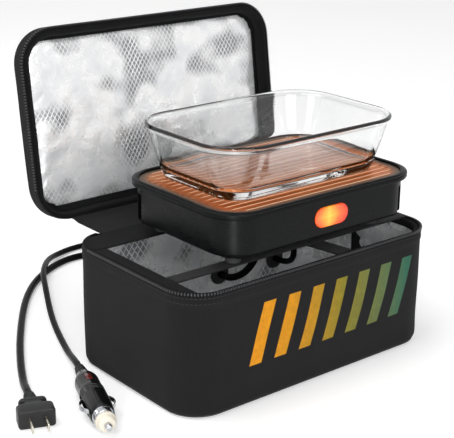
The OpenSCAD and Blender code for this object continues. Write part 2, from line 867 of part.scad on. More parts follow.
module control_board() {
    color("#2f6b45")
        at_heater(board_z)
            translate([board_x, board_y, 0]) {
                translate([-board_l / 2, -board_w / 2, 0])
                    cube([board_l, board_w, pcb_t]);
                translate([-supply_l - 4, -supply_w / 2 - 2, pcb_t])
                    cube([supply_l, supply_w, supply_h]);
                translate([6, -relay_l / 2 - 2, pcb_t])
                    cube([relay_w, relay_l, relay_h]);
                translate([-board_l / 2 + 8, board_w / 2 - 8, pcb_t])
                    cylinder(d = capacitor_d, h = capacitor_h);
            }
}

module indicator_led() {
    color("#ff8a3c")
        translate([heater_x + lens_x, front_y + body_t + 3, lens_z])
            rotate([90, 0, 0]) {
                translate([0, 0, -4])
                    cylinder(d = 5, h = 5);
                translate([-12, -4, -5.6])
                    cube([24, 8, 1.6]);
            }
}

module indicator_lens() {
    color("#ff6a2a")
        translate([heater_x + lens_x, front_y - lens_out, lens_z])
            rotate([-90, 0, 0])
                difference() {
                    union() {
                        stadium(lens_l - 2 * seat, lens_h - 2 * seat, lens_out + body_t + 1.6);
                        translate([0, 0, lens_out + body_t])
                            stadium(lens_l + 6, lens_h - 4, 1.6);
                    }
                    translate([0, 0, 2])
                        stadium(lens_l - 4, lens_h - 4, 10);
                }
}

module bottom_cover() {
    color("#1e1f21")
        at_heater(0)
            difference() {
                union() {
                    translate([0, 0, body_z])
                        slab(well_l - 2 * seat, well_w - 2 * seat, well_r - seat, cover_plate_t);
                    translate([0, 0, plinth_z])
                        slab(plinth_l, plinth_w, plinth_r, plinth_h + eps);
                    translate([board_x, board_y, floor_top - eps])
                        for (x = [-1, 1], y = [-1, 1])
                            translate([x * (board_l / 2 - 5), y * (board_w / 2 - 5), 0])
                                cylinder(d = 6, h = post_h + eps);
                    translate([lens_x - 12, -body_w / 2 + body_t + 7, floor_top - eps])
                        cube([24, 2, lens_z - floor_top - 4]);
                }
                for (x = [-1, 1], y = [-1, 1])
                    translate([x * boss_x, y * boss_y, plinth_z - eps]) {
                        cylinder(d = screw_head_d + 0.4, h = plinth_h + eps);
                        cylinder(d = screw_d + 0.3, h = plinth_h + cover_plate_t + 1);
                    }
            }
}

module cover_screws() {
    color("#77797d")
        at_heater(body_z)
            for (x = [-1, 1], y = [-1, 1])
                translate([x * boss_x, y * boss_y, 0]) {
                    translate([0, 0, -screw_head_h])
                        cylinder(d = screw_head_d, h = screw_head_h);
                    cylinder(d = screw_d, h = screw_l);
                }
}

module rubber_feet() {
    color("#2b2b2d")
        at_heater(foot_z)
            for (x = [-1, 1], y = [front_foot_y, back_foot_y])
                translate([x * foot_x, y, 0])
                    rotate_extrude()
                        polygon([[0, 0], [foot_d / 2 - 1.4, 0], [foot_d / 2 - 0.4, 1],
                            [foot_d / 2, foot_h], [0, foot_h]]);
}

module lead_glands() {
    color("#202022")
        for (x = [gland_ac_x, gland_dc_x])
            translate([x, gland_y, plinth_z - gland_h]) {
                cylinder(d1 = gland_d - 2, d2 = gland_d, h = gland_h - 2);
                translate([0, 0, gland_h - 2])
                    cylinder(d = gland_d + 2, h = 2);
            }
}

module inner_leads() {
    color("#19191b") {
        tube(smooth(ac_inner_points, 2), ac_d, 8, [1, 0, 0]);
        tube(smooth(dc_inner_points, 2), dc_d, 8, [1, 0, 0]);
    }
}

// ---- The glass dish ----

module glass_dish() {
    wall_l = dish_l - 2 * dish_rim_out;
    wall_w = dish_w - 2 * dish_rim_out;
    wall_r = dish_r - dish_rim_out;
    color([0.8, 0.9, 0.92, 0.35])
        translate([dish_x, dish_y, dish_z])
            difference() {
                union() {
                    slab(dish_base_l - 6, dish_base_w - 6, dish_base_r - 3, foot_ring_h + 1, $fn = 32);
                    translate([0, 0, foot_ring_h])
                        hull() {
                            slab(dish_base_l, dish_base_w, dish_base_r, 1, $fn = 32);
                            translate([0, 0, dish_h - foot_ring_h - dish_rim_h])
                                slab(wall_l, wall_w, wall_r, 1, $fn = 32);
                        }
                    translate([0, 0, dish_h - dish_rim_h])
                        slab(dish_l - 1, dish_w - 1, dish_r - 0.5, dish_rim_h, $fn = 32);
                    translate([0, 0, dish_h - dish_rim_h + 1])
                        slab(dish_l, dish_w, dish_r, dish_rim_h - 2, $fn = 32);
                }
                translate([0, 0, foot_ring_h + glass_t])
                    hull() {
                        slab(dish_base_l - 2 * glass_t - 6, dish_base_w - 2 * glass_t - 6,
                            dish_base_r - glass_t - 3, 1, $fn = 32);
                        translate([0, 0, dish_h])
                            slab(wall_l + 3, wall_w + 3, wall_r, 1, $fn = 32);
                    }
            }
}

// ---- Cords and plugs ----

module ac_lead() {
    color("#151517")
        tube(smooth(ac_lead_points, 2), ac_d);
}

module ac_coil() {
    color("#151517")
        tube(ac_coil_path, ac_d, 6);
}

module ac_run() {
    color("#151517")
        tube(smooth(ac_run_points, 2), ac_d);
}

module dc_lead() {
    color("#151517")
        tube(smooth(dc_lead_points, 2), dc_d);
}

module dc_coil() {
    color("#151517")
        tube(dc_coil_path, dc_d, 6);
}

module dc_run() {
    color("#151517")
        tube(smooth(dc_run_points, 2), dc_d);
}

// A tapered sleeve with round grooves
module ribbed_sleeve(r_small, r_big, l, grooves) {
    step = l / (grooves + 1);
    difference() {
        cylinder(r1 = r_small, r2 = r_big, h = l);
        for (k = [0 : grooves - 1])
            translate([0, 0, (k + 0.7) * step])
                difference() {
                    cylinder(r = r_big + 1, h = step * 0.42);
                    translate([0, 0, -eps])
                        cylinder(r = r_small - 0.2 + (r_big - r_small) * k / grooves,
                            h = step * 0.42 + 2 * eps);
                }
        }
}

module ac_strain_relief() {
    color("#1c1c1e")
        at_ac_plug()
            ribbed_sleeve(ac_d / 2 + 0.9, 6.5, ac_relief_l, 4);
}

// The plug: a waisted grip with a thumb rest, then the wide front block
module ac_plug_body() {
    color("#2a2b2d")
        at_ac_plug(ac_relief_l) {
            slab(ac_plug_t - 2, 19, 4, ac_neck_l);
            translate([0, 0, 2])
                slab(ac_plug_t - 1, 23, 3, 3);
            translate([0, 0, ac_neck_l - eps])
                slab(ac_plug_t, ac_plug_w, 2.6, ac_block_l);
        }
}

module ac_plug_blades() {
    blade_z = ac_relief_l + ac_neck_l + ac_block_l;
    color("#c9b98a")
        at_ac_plug(blade_z)
            for (side = [-1, 1])
                translate([0, side * blade_gap / 2, 0])
                    difference() {
                        translate([-blade_w / 2, -blade_t / 2, 0])
                            cube([blade_w, blade_t, blade_l]);
                        translate([0, -blade_t, blade_l - 4.5])
                            rotate([-90, 0, 0])
                                cylinder(r = blade_hole_r, h = 2 * blade_t);
                    }
}

module dc_strain_relief() {
    color("#141416")
        at_car_plug()
            ribbed_sleeve(dc_d / 2 + 0.9, 6, car_relief_l, 4);
}

// Long windows in the body let the side contacts bow out
module contact_windows() {
    for (side = [-1, 1])
        translate([-contact_w / 2 - 0.8, side > 0 ? 5 : -car_r - 1, contact_mid - contact_chord / 2 - 2])
            cube([contact_w + 1.6, car_r - 4, contact_chord + 4]);
}

module car_plug_body() {
    color("#0f0f11")
        at_car_plug()
            difference() {
                rotate_extrude()
                    polygon([[0, car_relief_l], [6.6, car_relief_l], [7.6, car_relief_l + 3],
                        [9.4, car_relief_l + 8], [10.4, car_relief_l + car_tail_l],
                        [10.4, car_relief_l + 30], [car_r, car_relief_l + 33],
                        [car_r, collar_z - 16], [10.4, collar_z - 4], [9.6, collar_z],
                        [0, collar_z]]);
                translate([0, 0, collar_z - tip_bore_l - fuse_l])
                    cylinder(r = fuse_r + 0.4, h = tip_bore_l + fuse_l + eps);
                contact_windows();
                translate([-car_r - 1, -3, car_relief_l + car_tail_l])
                    cube([3.2, 6, 12]);
                for (k = [0 : 2])
                    translate([0, 0, car_relief_l + 36 + 3 * k])
                        difference() {
                            cylinder(r = car_r + 1, h = 1);
                            translate([0, 0, -eps])
                                cylinder(r = car_r - 0.5, h = 1 + 2 * eps);
                            translate([-4, -car_r - 2, -1])
                                cube([8, 2 * car_r + 4, 3]);
                        }
            }
}

// The small window of the plug's pilot light
module car_plug_light() {
    color("#b03a30")
        at_car_plug(car_relief_l + car_tail_l)
            translate([-10.2, -3 + seat, seat])
                cube([1.4 - seat, 6 - 2 * seat, 12 - 2 * seat]);
}

module car_plug_collar() {
    color("#b9bbbf")
        at_car_plug(collar_z + 0.05)
            difference() {
                cylinder(r = collar_r, h = collar_l - 0.1);
                translate([0, 0, -eps])
                    cylinder(r = nose_r - 1.5, h = collar_l);
                for (k = [0 : 3])
                    rotate([0, 0, 45 + 90 * k])
                        translate([collar_r - 1, -1.2, 2])
                            cube([3, 2.4, collar_l]);
            }
}

module car_plug_nose() {
    color("#e4dccb")
        at_car_plug(nose_z)
            difference() {
                rotate_extrude()
                    polygon([[tip_r + 0.4, 0], [nose_r + 1, 0], [nose_r + 1, 2.4],
                        [nose_r, 3.4], [nose_r - 1, nose_l - 1], [nose_r - 2, nose_l],
                        [tip_r + 0.4, nose_l]]);
                for (k = [0 : 11])
                    rotate([0, 0, 30 * k])
                        translate([nose_r + 0.5, -0.4, -eps])
                            cube([2, 0.8, 2.4]);
            }
}

// The sprung centre contact, its spring and the fuse behind it
module car_plug_tip() {
    color("#cfd0d3")
        at_car_plug(nose_z - 3) {
            cylinder(r = tip_r + 1.4, h = 2.4);
            cylinder(r = tip_r, h = 3 + nose_l + tip_out - 2);
            translate([0, 0, 3 + nose_l + tip_out - 2 - eps])
                cylinder(r1 = tip_r, r2 = tip_r - 1.4, h = 2);
        }
}

module car_plug_spring() {
    color("#9a9ca0")
        at_car_plug(collar_z - tip_bore_l + fit + spring_wire / 2)
            tube([for (k = [0 : spring_turns * 14])
                [spring_r * cos(k * 360 / 14), spring_r * sin(k * 360 / 14),
                    k / (spring_turns * 14) * spring_l]], spring_wire, 6);
}

module car_plug_fuse() {
    color("#d9d2b8")
        at_car_plug(collar_z - tip_bore_l - fuse_l + seat)
            cylinder(r = fuse_r, h = fuse_l - 2 * seat);
}

// A bowed leaf spring; side is 1 or -1 across the plug
module side_contact(side) {
    bow = car_r + contact_out - 7;
    bow_r = (pow(contact_chord / 2, 2) + bow * bow) / (2 * bow);
    color("#c4c6ca")
        at_car_plug(contact_mid)
            rotate([0, 0, side > 0 ? 0 : 180])
                translate([-contact_w / 2, car_r + contact_out - bow_r, 0])
                    rotate([90, 0, 90])
                        intersection() {
                            difference() {
                                cylinder(r = bow_r, h = contact_w, $fn = 64);
                                translate([0, 0, -eps])
                                    cylinder(r = bow_r - contact_t, h = contact_w + 1, $fn = 64);
                            }
                            translate([bow_r - bow, -contact_chord / 2, -eps])
                                cube([bow + 1, contact_chord, contact_w + 1]);
                        }
}

module car_contact_left() {
    side_contact(1);
}

module car_contact_right() {
    side_contact(-1);
}

bag_cover();
base_board();
wall_foam();
foil_liner();
rim_binding();
left_facing();
back_facing();
long_strap();
cross_strap();
wall_strap();
bag_zip_row();
zip_slider();
zip_pull();
cord_ports();
hinge_flap();
lid_cover();
lid_foam();
lid_liner();
lid_binding();
lid_zip_row();
carry_handle();
heater_body();
heater_lip();
heating_plate();
heating_element();
insulation_pad();
thermal_cutout();
control_board();
indicator_led();
indicator_lens();
bottom_cover();
cover_screws();
rubber_feet();
lead_glands();
inner_leads();
glass_dish();
ac_lead();
ac_coil();
ac_run();
ac_strain_relief();
ac_plug_body();
ac_plug_blades();
dc_lead();
dc_coil();
dc_run();
dc_strain_relief();
car_plug_body();
car_plug_light();
car_plug_collar();
car_plug_nose();
car_plug_tip();
car_plug_spring();
car_plug_fuse();
car_contact_left();
car_contact_right();
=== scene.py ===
import math

import bmesh
import bpy
import numpy as np
from mathutils import Matrix, Vector, noise


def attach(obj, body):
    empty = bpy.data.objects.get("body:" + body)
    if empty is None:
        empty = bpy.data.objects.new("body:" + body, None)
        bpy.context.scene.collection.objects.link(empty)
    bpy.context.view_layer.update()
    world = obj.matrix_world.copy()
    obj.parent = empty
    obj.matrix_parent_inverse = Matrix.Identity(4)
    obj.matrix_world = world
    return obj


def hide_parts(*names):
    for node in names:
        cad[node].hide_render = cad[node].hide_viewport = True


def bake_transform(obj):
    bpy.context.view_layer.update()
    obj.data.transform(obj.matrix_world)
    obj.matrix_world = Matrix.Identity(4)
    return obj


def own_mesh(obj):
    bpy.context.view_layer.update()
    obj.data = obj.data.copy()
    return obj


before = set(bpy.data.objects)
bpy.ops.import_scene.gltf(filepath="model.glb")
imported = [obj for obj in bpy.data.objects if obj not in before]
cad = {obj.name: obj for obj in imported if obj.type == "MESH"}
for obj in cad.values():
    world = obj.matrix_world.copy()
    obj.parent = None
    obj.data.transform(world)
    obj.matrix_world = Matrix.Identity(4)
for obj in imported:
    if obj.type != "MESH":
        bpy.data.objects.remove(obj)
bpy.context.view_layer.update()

# ---- Sizes, as in the CAD source ----

BAG_L, BAG_W, BAG_H, BAG_R = 280, 172, 110, 32
FACING_Z = 108.4
TAPE_Z = 107.0
LID_Z, LID_TOP = 110.4, 130.4
HINGE_Y, HINGE_Z, LID_OPEN = 108.0, 91.276, 98.0
BASE_X, BASE_Y = 18, 1
BODY_L, BODY_W, BODY_R = 212, 146, 29
LIP_L, LIP_W, LIP_R = 222, 156, 34
PLATE_L, PLATE_W, PLATE_R, PLATE_TOP = 209.7, 143.7, 27.85, 160.3
DISH_X, DISH_Y, DISH_Z = 20, 7, 161.2
PORT_AC_X, PORT_DC_X, PORT_Z = 24, 94, 40
SLEEVE_END = 107.5
AC_D, DC_D = 7, 6
LENS_X, LENS_Z = 22, 140.8
FRONT_Y = BASE_Y - BODY_W / 2
MM = 0.001


def mm(*values):
    """Millimetres to metres: one number, or several as a vector."""
    return values[0] * MM if len(values) == 1 else Vector(values) * MM


def slid(x, y, z):
    """A move, in millimetres."""
    return Matrix.Translation(mm(x, y, z))


def spun(degrees, axis):
    return Matrix.Rotation(math.radians(degrees), 4, axis)


def clamped(t):
    return max(0.0, min(1.0, t))


def drift(x, y, z):
    """Smooth noise between about -1 and 1."""
    return noise.noise(Vector((x, y, z)))


# ---- Camera ----


def place_camera():
    """The photograph's view: 454 by 438, from the bag's front left and above."""
    data = bpy.data.cameras.new("camera")
    camera = bpy.data.objects.new("camera", data)
    bpy.context.scene.collection.objects.link(camera)
    at, look = Vector((-0.6754, -0.7809, 0.4795)), Vector((-0.0126, 0.0243, 0.1184))
    roll = math.radians(0.51)
    forward = (look - at).normalized()
    level = forward.cross(Vector((0, 0, 1))).normalized()
    upright = level.cross(forward)
    right = level * math.cos(roll) + upright * math.sin(roll)
    up = upright * math.cos(roll) - level * math.sin(roll)
    turn = Matrix((right, up, -forward)).transposed().to_4x4()
    camera.matrix_world = Matrix.Translation(at) @ turn
    data.sensor_fit = "HORIZONTAL"
    data.sensor_width = 36
    data.lens = 98.4
    data.clip_end = 50
    bpy.context.scene.camera = camera


place_camera()

# ---- Making meshes ----


def add_object(name, mesh):
    made = bpy.data.objects.new(name, mesh)
    bpy.context.scene.collection.objects.link(made)
    return made


def build(name, points, faces, finish=None, uv=None):
    """A mesh object from points and faces. uv holds one pair for each face corner."""
    mesh = bpy.data.meshes.new(name)
    mesh.from_pydata([tuple(p) for p in points], [], [tuple(f) for f in faces])
    if uv is not None:
        layer = mesh.uv_layers.new(name="cloth")
        layer.data.foreach_set("uv", np.asarray(uv, np.float32).ravel())
    shape = bmesh.new()
    shape.from_mesh(mesh)
    bmesh.ops.recalc_face_normals(shape, faces=shape.faces)
    shape.to_mesh(mesh)
    shape.free()
    mesh.shade_smooth()
    if finish:
        mesh.materials.append(finish)
    return add_object(name, mesh)


def outline(l, w, r, long_n=48, short_n=26, corner_n=12):
    """A round-cornered rectangle, against the clock from the middle of the back: points, outward
    normals, run."""
    r = max(min(r, l / 2 - 0.01, w / 2 - 0.01), 0.01)
    a, b = l / 2 - r, w / 2 - r
    spots, outs = [], []

    def line(x0, y0, x1, y1, n, out):
        for k in range(n):
            spots.append((x0 + (x1 - x0) * k / n, y0 + (y1 - y0) * k / n))
            outs.append(out)

    def corner(x, y, start):
        for k in range(corner_n):
            t = math.radians(start + 90 * k / corner_n)
            spots.append((x + r * math.cos(t), y + r * math.sin(t)))
            outs.append((math.cos(t), math.sin(t)))

    line(0, b + r, -a, b + r, long_n // 2, (0, 1))
    corner(-a, b, 90)
    line(-a - r, b, -a - r, -b, short_n, (-1, 0))
    corner(-a, -b, 180)
    line(-a, -b - r, a, -b - r, long_n, (0, -1))
    corner(a, -b, 270)
    line(a + r, -b, a + r, b, short_n, (1, 0))
    corner(a, b, 0)
    line(a, b + r, 0, b + r, long_n // 2, (0, 1))
    spots, outs = np.array(spots), np.array(outs, float)
    steps = np.linalg.norm(np.roll(spots, -1, 0) - spots, axis=1)
    return spots, outs, np.concatenate([[0], np.cumsum(steps)])


def loft(name, rings, finish, run=None, caps=True, closed_rings=False):
    """A skin over rings of points (rings, points, 3) in metres. The last ring joins the first with
    closed_rings."""
    rings = np.asarray(rings, float)
    count, around = rings.shape[:2]
    if run is None:
        steps = np.linalg.norm(np.roll(rings[0], -1, 0) - rings[0], axis=1)
        run = np.concatenate([[0], np.cumsum(steps)])
    rise = np.concatenate([[0], np.cumsum(np.linalg.norm(rings[1:] - rings[:-1], axis=2).mean(1))])
    faces, uv = [], []
    for i in range(count if closed_rings else count - 1):
        k = (i + 1) % count
        top = rise[k] if k else rise[-1] + np.linalg.norm(rings[0] - rings[-1], axis=1).mean()
        for j in range(around):
            n = (j + 1) % around
            faces.append((i * around + j, i * around + n, k * around + n, k * around + j))
            uv += [(run[j], rise[i]), (run[j + 1], rise[i]), (run[j + 1], top), (run[j], top)]
    if caps and not closed_rings:
        for i in (0, count - 1):
            for cap in cap_faces(around):
                cap = cap[::-1] if i == 0 else cap
                faces.append([i * around + j for j in cap])
                uv += [tuple(rings[i][j, :2]) for j in cap]
    return build(name, rings.reshape(-1, 3), faces, finish, uv)


def cap_faces(around):
    """Corners of the faces that close a ring: one face on a small ring, or a strip of quads across a
    large one."""
    if around < 40 or around % 4:
        return [list(range(around))]
    found = []
    for j in range(-(around // 4), around // 4):
        corners = [k % around for k in (j, j + 1, around // 2 - j - 1, around // 2 - j)]
        found.append(list(dict.fromkeys(corners)))
    return [f for f in found if len(f) > 2]


def ring_at(inset, z, l=BAG_L, w=BAG_W, r=BAG_R, centre=(0, 0), **counts):
    """One ring of an outline drawn in by inset, in metres."""
    spots, _, _ = outline(l - 2 * inset, w - 2 * inset, r - inset, **counts)
    return np.column_stack([spots + np.array(centre), np.full(len(spots), z)]) * MM


def tray_rings(profile, **sizes):
    """Rings of a round-cornered form from (inset, z) pairs."""
    return np.array([ring_at(d, z, **sizes) for d, z in profile])


def fillet(d0, z0, d1, z1, n=5, bulge=1):
    """Points of a quarter curve from (d0, z0) to (d1, z1), leaving the first along z when bulge is 1,
    along d when -1."""
    found = []
    for k in range(n + 1):
        t = math.pi / 2 * k / n
        if bulge > 0:
            found.append((d1 + (d0 - d1) * math.cos(t), z0 + (z1 - z0) * math.sin(t)))
        else:
            found.append((d0 + (d1 - d0) * math.sin(t), z1 + (z0 - z1) * math.cos(t)))
    return found


def sweep(name, path, radius, finish, sides=14):
    """A round tube along path, in metres, with one radius or one for each point."""
    path = np.asarray(path, float)
    radius = np.full(len(path), radius) if np.isscalar(radius) else np.asarray(radius, float)
    ahead = np.gradient(path, axis=0)
    ahead /= np.linalg.norm(ahead, axis=1)[:, None]
    side = np.cross(ahead[0], (0, 0, 1) if abs(ahead[0][2]) < 0.9 else (1, 0, 0))
    side /= np.linalg.norm(side)
    rings = []
    for k, spot in enumerate(path):
        side = side - ahead[k] * (side @ ahead[k])
        side /= np.linalg.norm(side)
        other = np.cross(ahead[k], side)
        angles = np.arange(sides) * 2 * math.pi / sides
        rings.append(spot + radius[k] * (np.cos(angles)[:, None] * side + np.sin(angles)[:, None] * other))
    run = np.arange(sides + 1) / sides * 2 * math.pi * float(radius.max())
    return loft(name, rings, finish, run)


def revolve(name, profile, finish, sides=48):
    """A turned form about the local Z axis from (radius, z) pairs in millimetres, ends closed where the
    radius isn't 0."""
    angles = np.arange(sides) * 2 * math.pi / sides
    rings = [np.column_stack([max(r, 0.02) * np.cos(angles), max(r, 0.02) * np.sin(angles),
                              np.full(sides, z)]) * MM for r, z in profile]
    return loft(name, rings, finish, np.arange(sides + 1) / sides * 0.06)


def ribbon(name, centre, across, lift, width, thick, finish):
    """A flat strap with round edges: centre points, unit vectors across it and out of its face, in
    metres."""
    centre, across, lift = (np.asarray(a, float) for a in (centre, across, lift))
    h, w, rounding = thick / 2, width / 2, 0.35
    r = h * 2 * rounding
    section = []
    for x, y, start in ((w - r, h - r, 0), (-w + r, h - r, 90), (-w + r, -h + r, 180),
                        (w - r, -h + r, 270)):
        for k in range(4):
            t = math.radians(start + 30 * k)
            section.append((x + r * math.cos(t), y + r * math.sin(t)))
    across_n = 10
    upper = [(w - r - (2 * w - 2 * r) * k / across_n, h) for k in range(1, across_n)]
    lower = [(-w + r + (2 * w - 2 * r) * k / across_n, -h) for k in range(1, across_n)]
    section = section[:4] + upper + section[4:12] + lower + section[12:]
    rings = [c + np.array([a * x + n * y for x, y in section]) for c, a, n in zip(centre, across, lift)]
    steps = [math.dist(section[k], section[(k + 1) % len(section)]) for k in range(len(section))]
    run = np.concatenate([[0], np.cumsum(steps)])
    return loft(name, rings, finish, run)


def place(piece, matrix):
    """Moves a piece by moving its mesh, so that its object stays at the origin."""
    piece.data.transform(matrix)
    piece.data.update()
    return piece


def dress(piece, body, slot, *replaced):
    """Rides a body and stands for CAD nodes; slot is not used."""
    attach(piece, body)
    if replaced:
        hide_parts(*replaced)
    return piece


def sharpen(piece, angle=35):
    """Smooth shading with crisp edges past the angle."""
    piece.data.shade_smooth()
    piece.data.set_sharp_from_angle(angle=math.radians(angle))
    return piece


def settled(piece):
    """The piece with its modifiers made part of its mesh."""
    bpy.context.view_layer.update()
    graph = bpy.context.evaluated_depsgraph_get()
    mesh = bpy.data.meshes.new_from_object(piece.evaluated_get(graph), depsgraph=graph)
    old = piece.data
    piece.modifiers.clear()
    piece.data = mesh
    if old.users == 0:
        bpy.data.meshes.remove(old)
    return piece


def subdivided(piece):
    modifier = piece.modifiers.new("rounder", "SUBSURF")
    modifier.levels = modifier.render_levels = 1
    return settled(piece)


def carved(piece, *cutters):
    """Cuts the cutters out of the piece and removes them."""
    for cutter in cutters:
        modifier = piece.modifiers.new("cut", "BOOLEAN")
        modifier.operation = "DIFFERENCE"
        modifier.solver = "EXACT"
        modifier.object = cutter
    settled(piece)
    for cutter in cutters:
        bpy.data.objects.remove(cutter)
    return piece


def drill(radius, low, high, matrix, sides=24):
    """A cylinder to cut a round hole with."""
    return place(revolve("hole", [(radius, low), (radius, high)], None, sides), matrix)


def merged(name, pieces):
    """One piece out of several."""
    shape = bmesh.new()
    uv_needed = any(p.data.uv_layers for p in pieces)
    finishes = []
    for piece in pieces:
        mesh = piece.data
        shift = []
        for finish in mesh.materials:
            if finish not in finishes:
                finishes.append(finish)
            shift.append(finishes.index(finish))
        if uv_needed and not mesh.uv_layers:
            mesh.uv_layers.new(name="cloth")
        for face in mesh.polygons:
            face.material_index = shift[face.material_index] if shift else 0
        shape.from_mesh(mesh)
    mesh = bpy.data.meshes.new(name)
    shape.to_mesh(mesh)
    shape.free()
    for finish in finishes:
        mesh.materials.append(finish)
    for piece in pieces:
        bpy.data.objects.remove(piece)
    return add_object(name, mesh)


def block(x0, y0, z0, x1, y1, z1, finish=None, soften=0.0, name="block"):
    """A box with softened edges, in millimetres."""
    shape = bmesh.new()
    bmesh.ops.create_cube(shape, size=1)
    bmesh.ops.scale(shape, vec=mm(x1 - x0, y1 - y0, z1 - z0), verts=shape.verts)
    bmesh.ops.translate(shape, vec=mm((x0 + x1) / 2, (y0 + y1) / 2, (z0 + z1) / 2), verts=shape.verts)
    if soften:
        bmesh.ops.bevel(shape, geom=shape.edges[:], offset=mm(soften), segments=2, profile=0.5,
                        affect="EDGES")
    mesh = bpy.data.meshes.new(name)
    shape.to_mesh(mesh)
    shape.free()
    if finish:
        mesh.materials.append(finish)
    return add_object(name, mesh)


def opened_matrix():
    """Where the lid's pieces go: drawn shut, then swung open about the hinge."""
    pin = slid(0, HINGE_Y, HINGE_Z)
    return pin @ spun(-LID_OPEN, "X") @ pin.inverted()


OPENED = opened_matrix()


def billow(x, y, z, octaves=3):
    """Creased noise between 0 and about 1."""
    total, size = 0.0, 1.0
    for k in range(octaves):
        total += size * abs(noise.noise(Vector((x, y, z)) * 2.0**k + Vector((k * 7.1, 3.3, 1.7))))
        size *= 0.5
    return total


# ---- Repeats along a path ----


def shape_tree(name, *inputs):
    """An empty tree for shapes, with a Geometry input and the named ones, and their identifiers."""
    tree = bpy.data.node_groups.new(name, "GeometryNodeTree")
    ids = {}
    for label, kind in (("Geometry", "Geometry"),) + inputs:
        made = tree.interface.new_socket(label, in_out="INPUT", socket_type="NodeSocket" + kind)
        ids[label] = made.identifier
    tree.interface.new_socket("Geometry", in_out="OUTPUT", socket_type="NodeSocketGeometry")
    return tree, ids


def wire(tree, *joins):
    """Joins sockets, each given as from node, output, to node, input."""
    for source, output, target, socket in joins:
        tree.links.new(source.outputs[output], target.inputs[socket])


def end_tree(tree, start, shapes, output):
    """The last steps of a tree: its shapes made real and given the Finish."""
    new = tree.nodes.new
    real, painted = new("GeometryNodeRealizeInstances"), new("GeometryNodeSetMaterial")
    end = new("NodeGroupOutput")
    wire(tree, (shapes, output, real, "Geometry"), (real, "Geometry", painted, "Geometry"),
         (start, "Finish", painted, "Material"), (painted, "Geometry", end, "Geometry"))


def line_host(name, paths):
    """An object whose mesh is the edges of open paths."""
    points, edges = [], []
    for path in paths:
        first = len(points)
        points += [tuple(p) for p in path]
        edges += [(first + k, first + k + 1) for k in range(len(path) - 1)]
    mesh = bpy.data.meshes.new(name)
    mesh.from_pydata(points, edges, [])
    return add_object(name, mesh)


def grown(host, tree, ids, **values):
    """The host with the tree's shapes made a plain mesh. Values go by the inputs' names."""
    modifier = host.modifiers.new(host.name, "NODES")
    modifier.node_group = tree
    for label, value in values.items():
        modifier[ids[label.replace("_", " ")]] = value
    return settled(host)


def path_tree():
    """A tree of copies of a part, evenly spaced along the input's edges.

    The part's X runs along the path and its Z points to Up."""
    tree, ids = shape_tree("parts_along_path", ("Spacing", "Float"), ("Part", "Object"),
                           ("Up", "Vector"), ("Finish", "Material"))
    new = tree.nodes.new
    start, curve = new("NodeGroupInput"), new("GeometryNodeMeshToCurve")
    spots = new("GeometryNodeCurveToPoints")
    spots.mode = "LENGTH"
    part, copies = new("GeometryNodeObjectInfo"), new("GeometryNodeInstanceOnPoints")
    along, upright = (new("FunctionNodeAlignRotationToVector") for _ in range(2))
    along.axis, upright.axis, upright.pivot_axis = "X", "Z", "X"
    wire(tree, (start, "Geometry", curve, "Mesh"), (curve, "Curve", spots, "Curve"),
         (start, "Spacing", spots, "Length"), (start, "Part", part, "Object"),
         (spots, "Tangent", along, "Vector"), (along, "Rotation", upright, "Rotation"),
         (start, "Up", upright, "Vector"), (spots, "Points", copies, "Points"),
         (part, "Geometry", copies, "Instance"), (upright, "Rotation", copies, "Rotation"))
    end_tree(tree, start, copies, "Instances")
    return tree, ids


PATH_TREE, PATH_INPUTS = path_tree()


def repeat_along(name, paths, part, spacing, finish):
    """Copies of part along open paths (metres) as one plain mesh. spacing in millimetres."""
    host = grown(line_host(name, paths), PATH_TREE, PATH_INPUTS, Spacing=mm(spacing), Part=part,
                 Up=(0, 0, 1), Finish=finish)
    return sharpen(host, 40)


def stitch_part():
    """One stitch, a small thread capsule that dips at both ends."""
    spots = [(-1.25, -0.25), (-0.9, 0.05), (0, 0.16), (0.9, 0.05), (1.25, -0.25)]
    radii = [0.06, 0.2, 0.24, 0.2, 0.06]
    path = [mm(x, 0, z) for x, z in spots]
    return sweep("stitch", [tuple(p) for p in path], [mm(r) for r in radii], None, sides=6)


def tooth_part():
    """One zip tooth: a small box with softened edges on the tape, reaching outwards (-Y)."""
    return block(-0.62, -1.25, -1.05, 0.62, 0.5, 1.05, None, 0.3, "tooth")


# ---- Finishes ----


def srgb(code):
    """A colour from its six-digit code, as linear numbers."""
    values = [int(code[k:k + 2], 16) / 255 for k in (0, 2, 4)]
    return [v / 12.92 if v <= 0.04045 else ((v + 0.055) / 1.055) ** 2.4 for v in values] + [1]


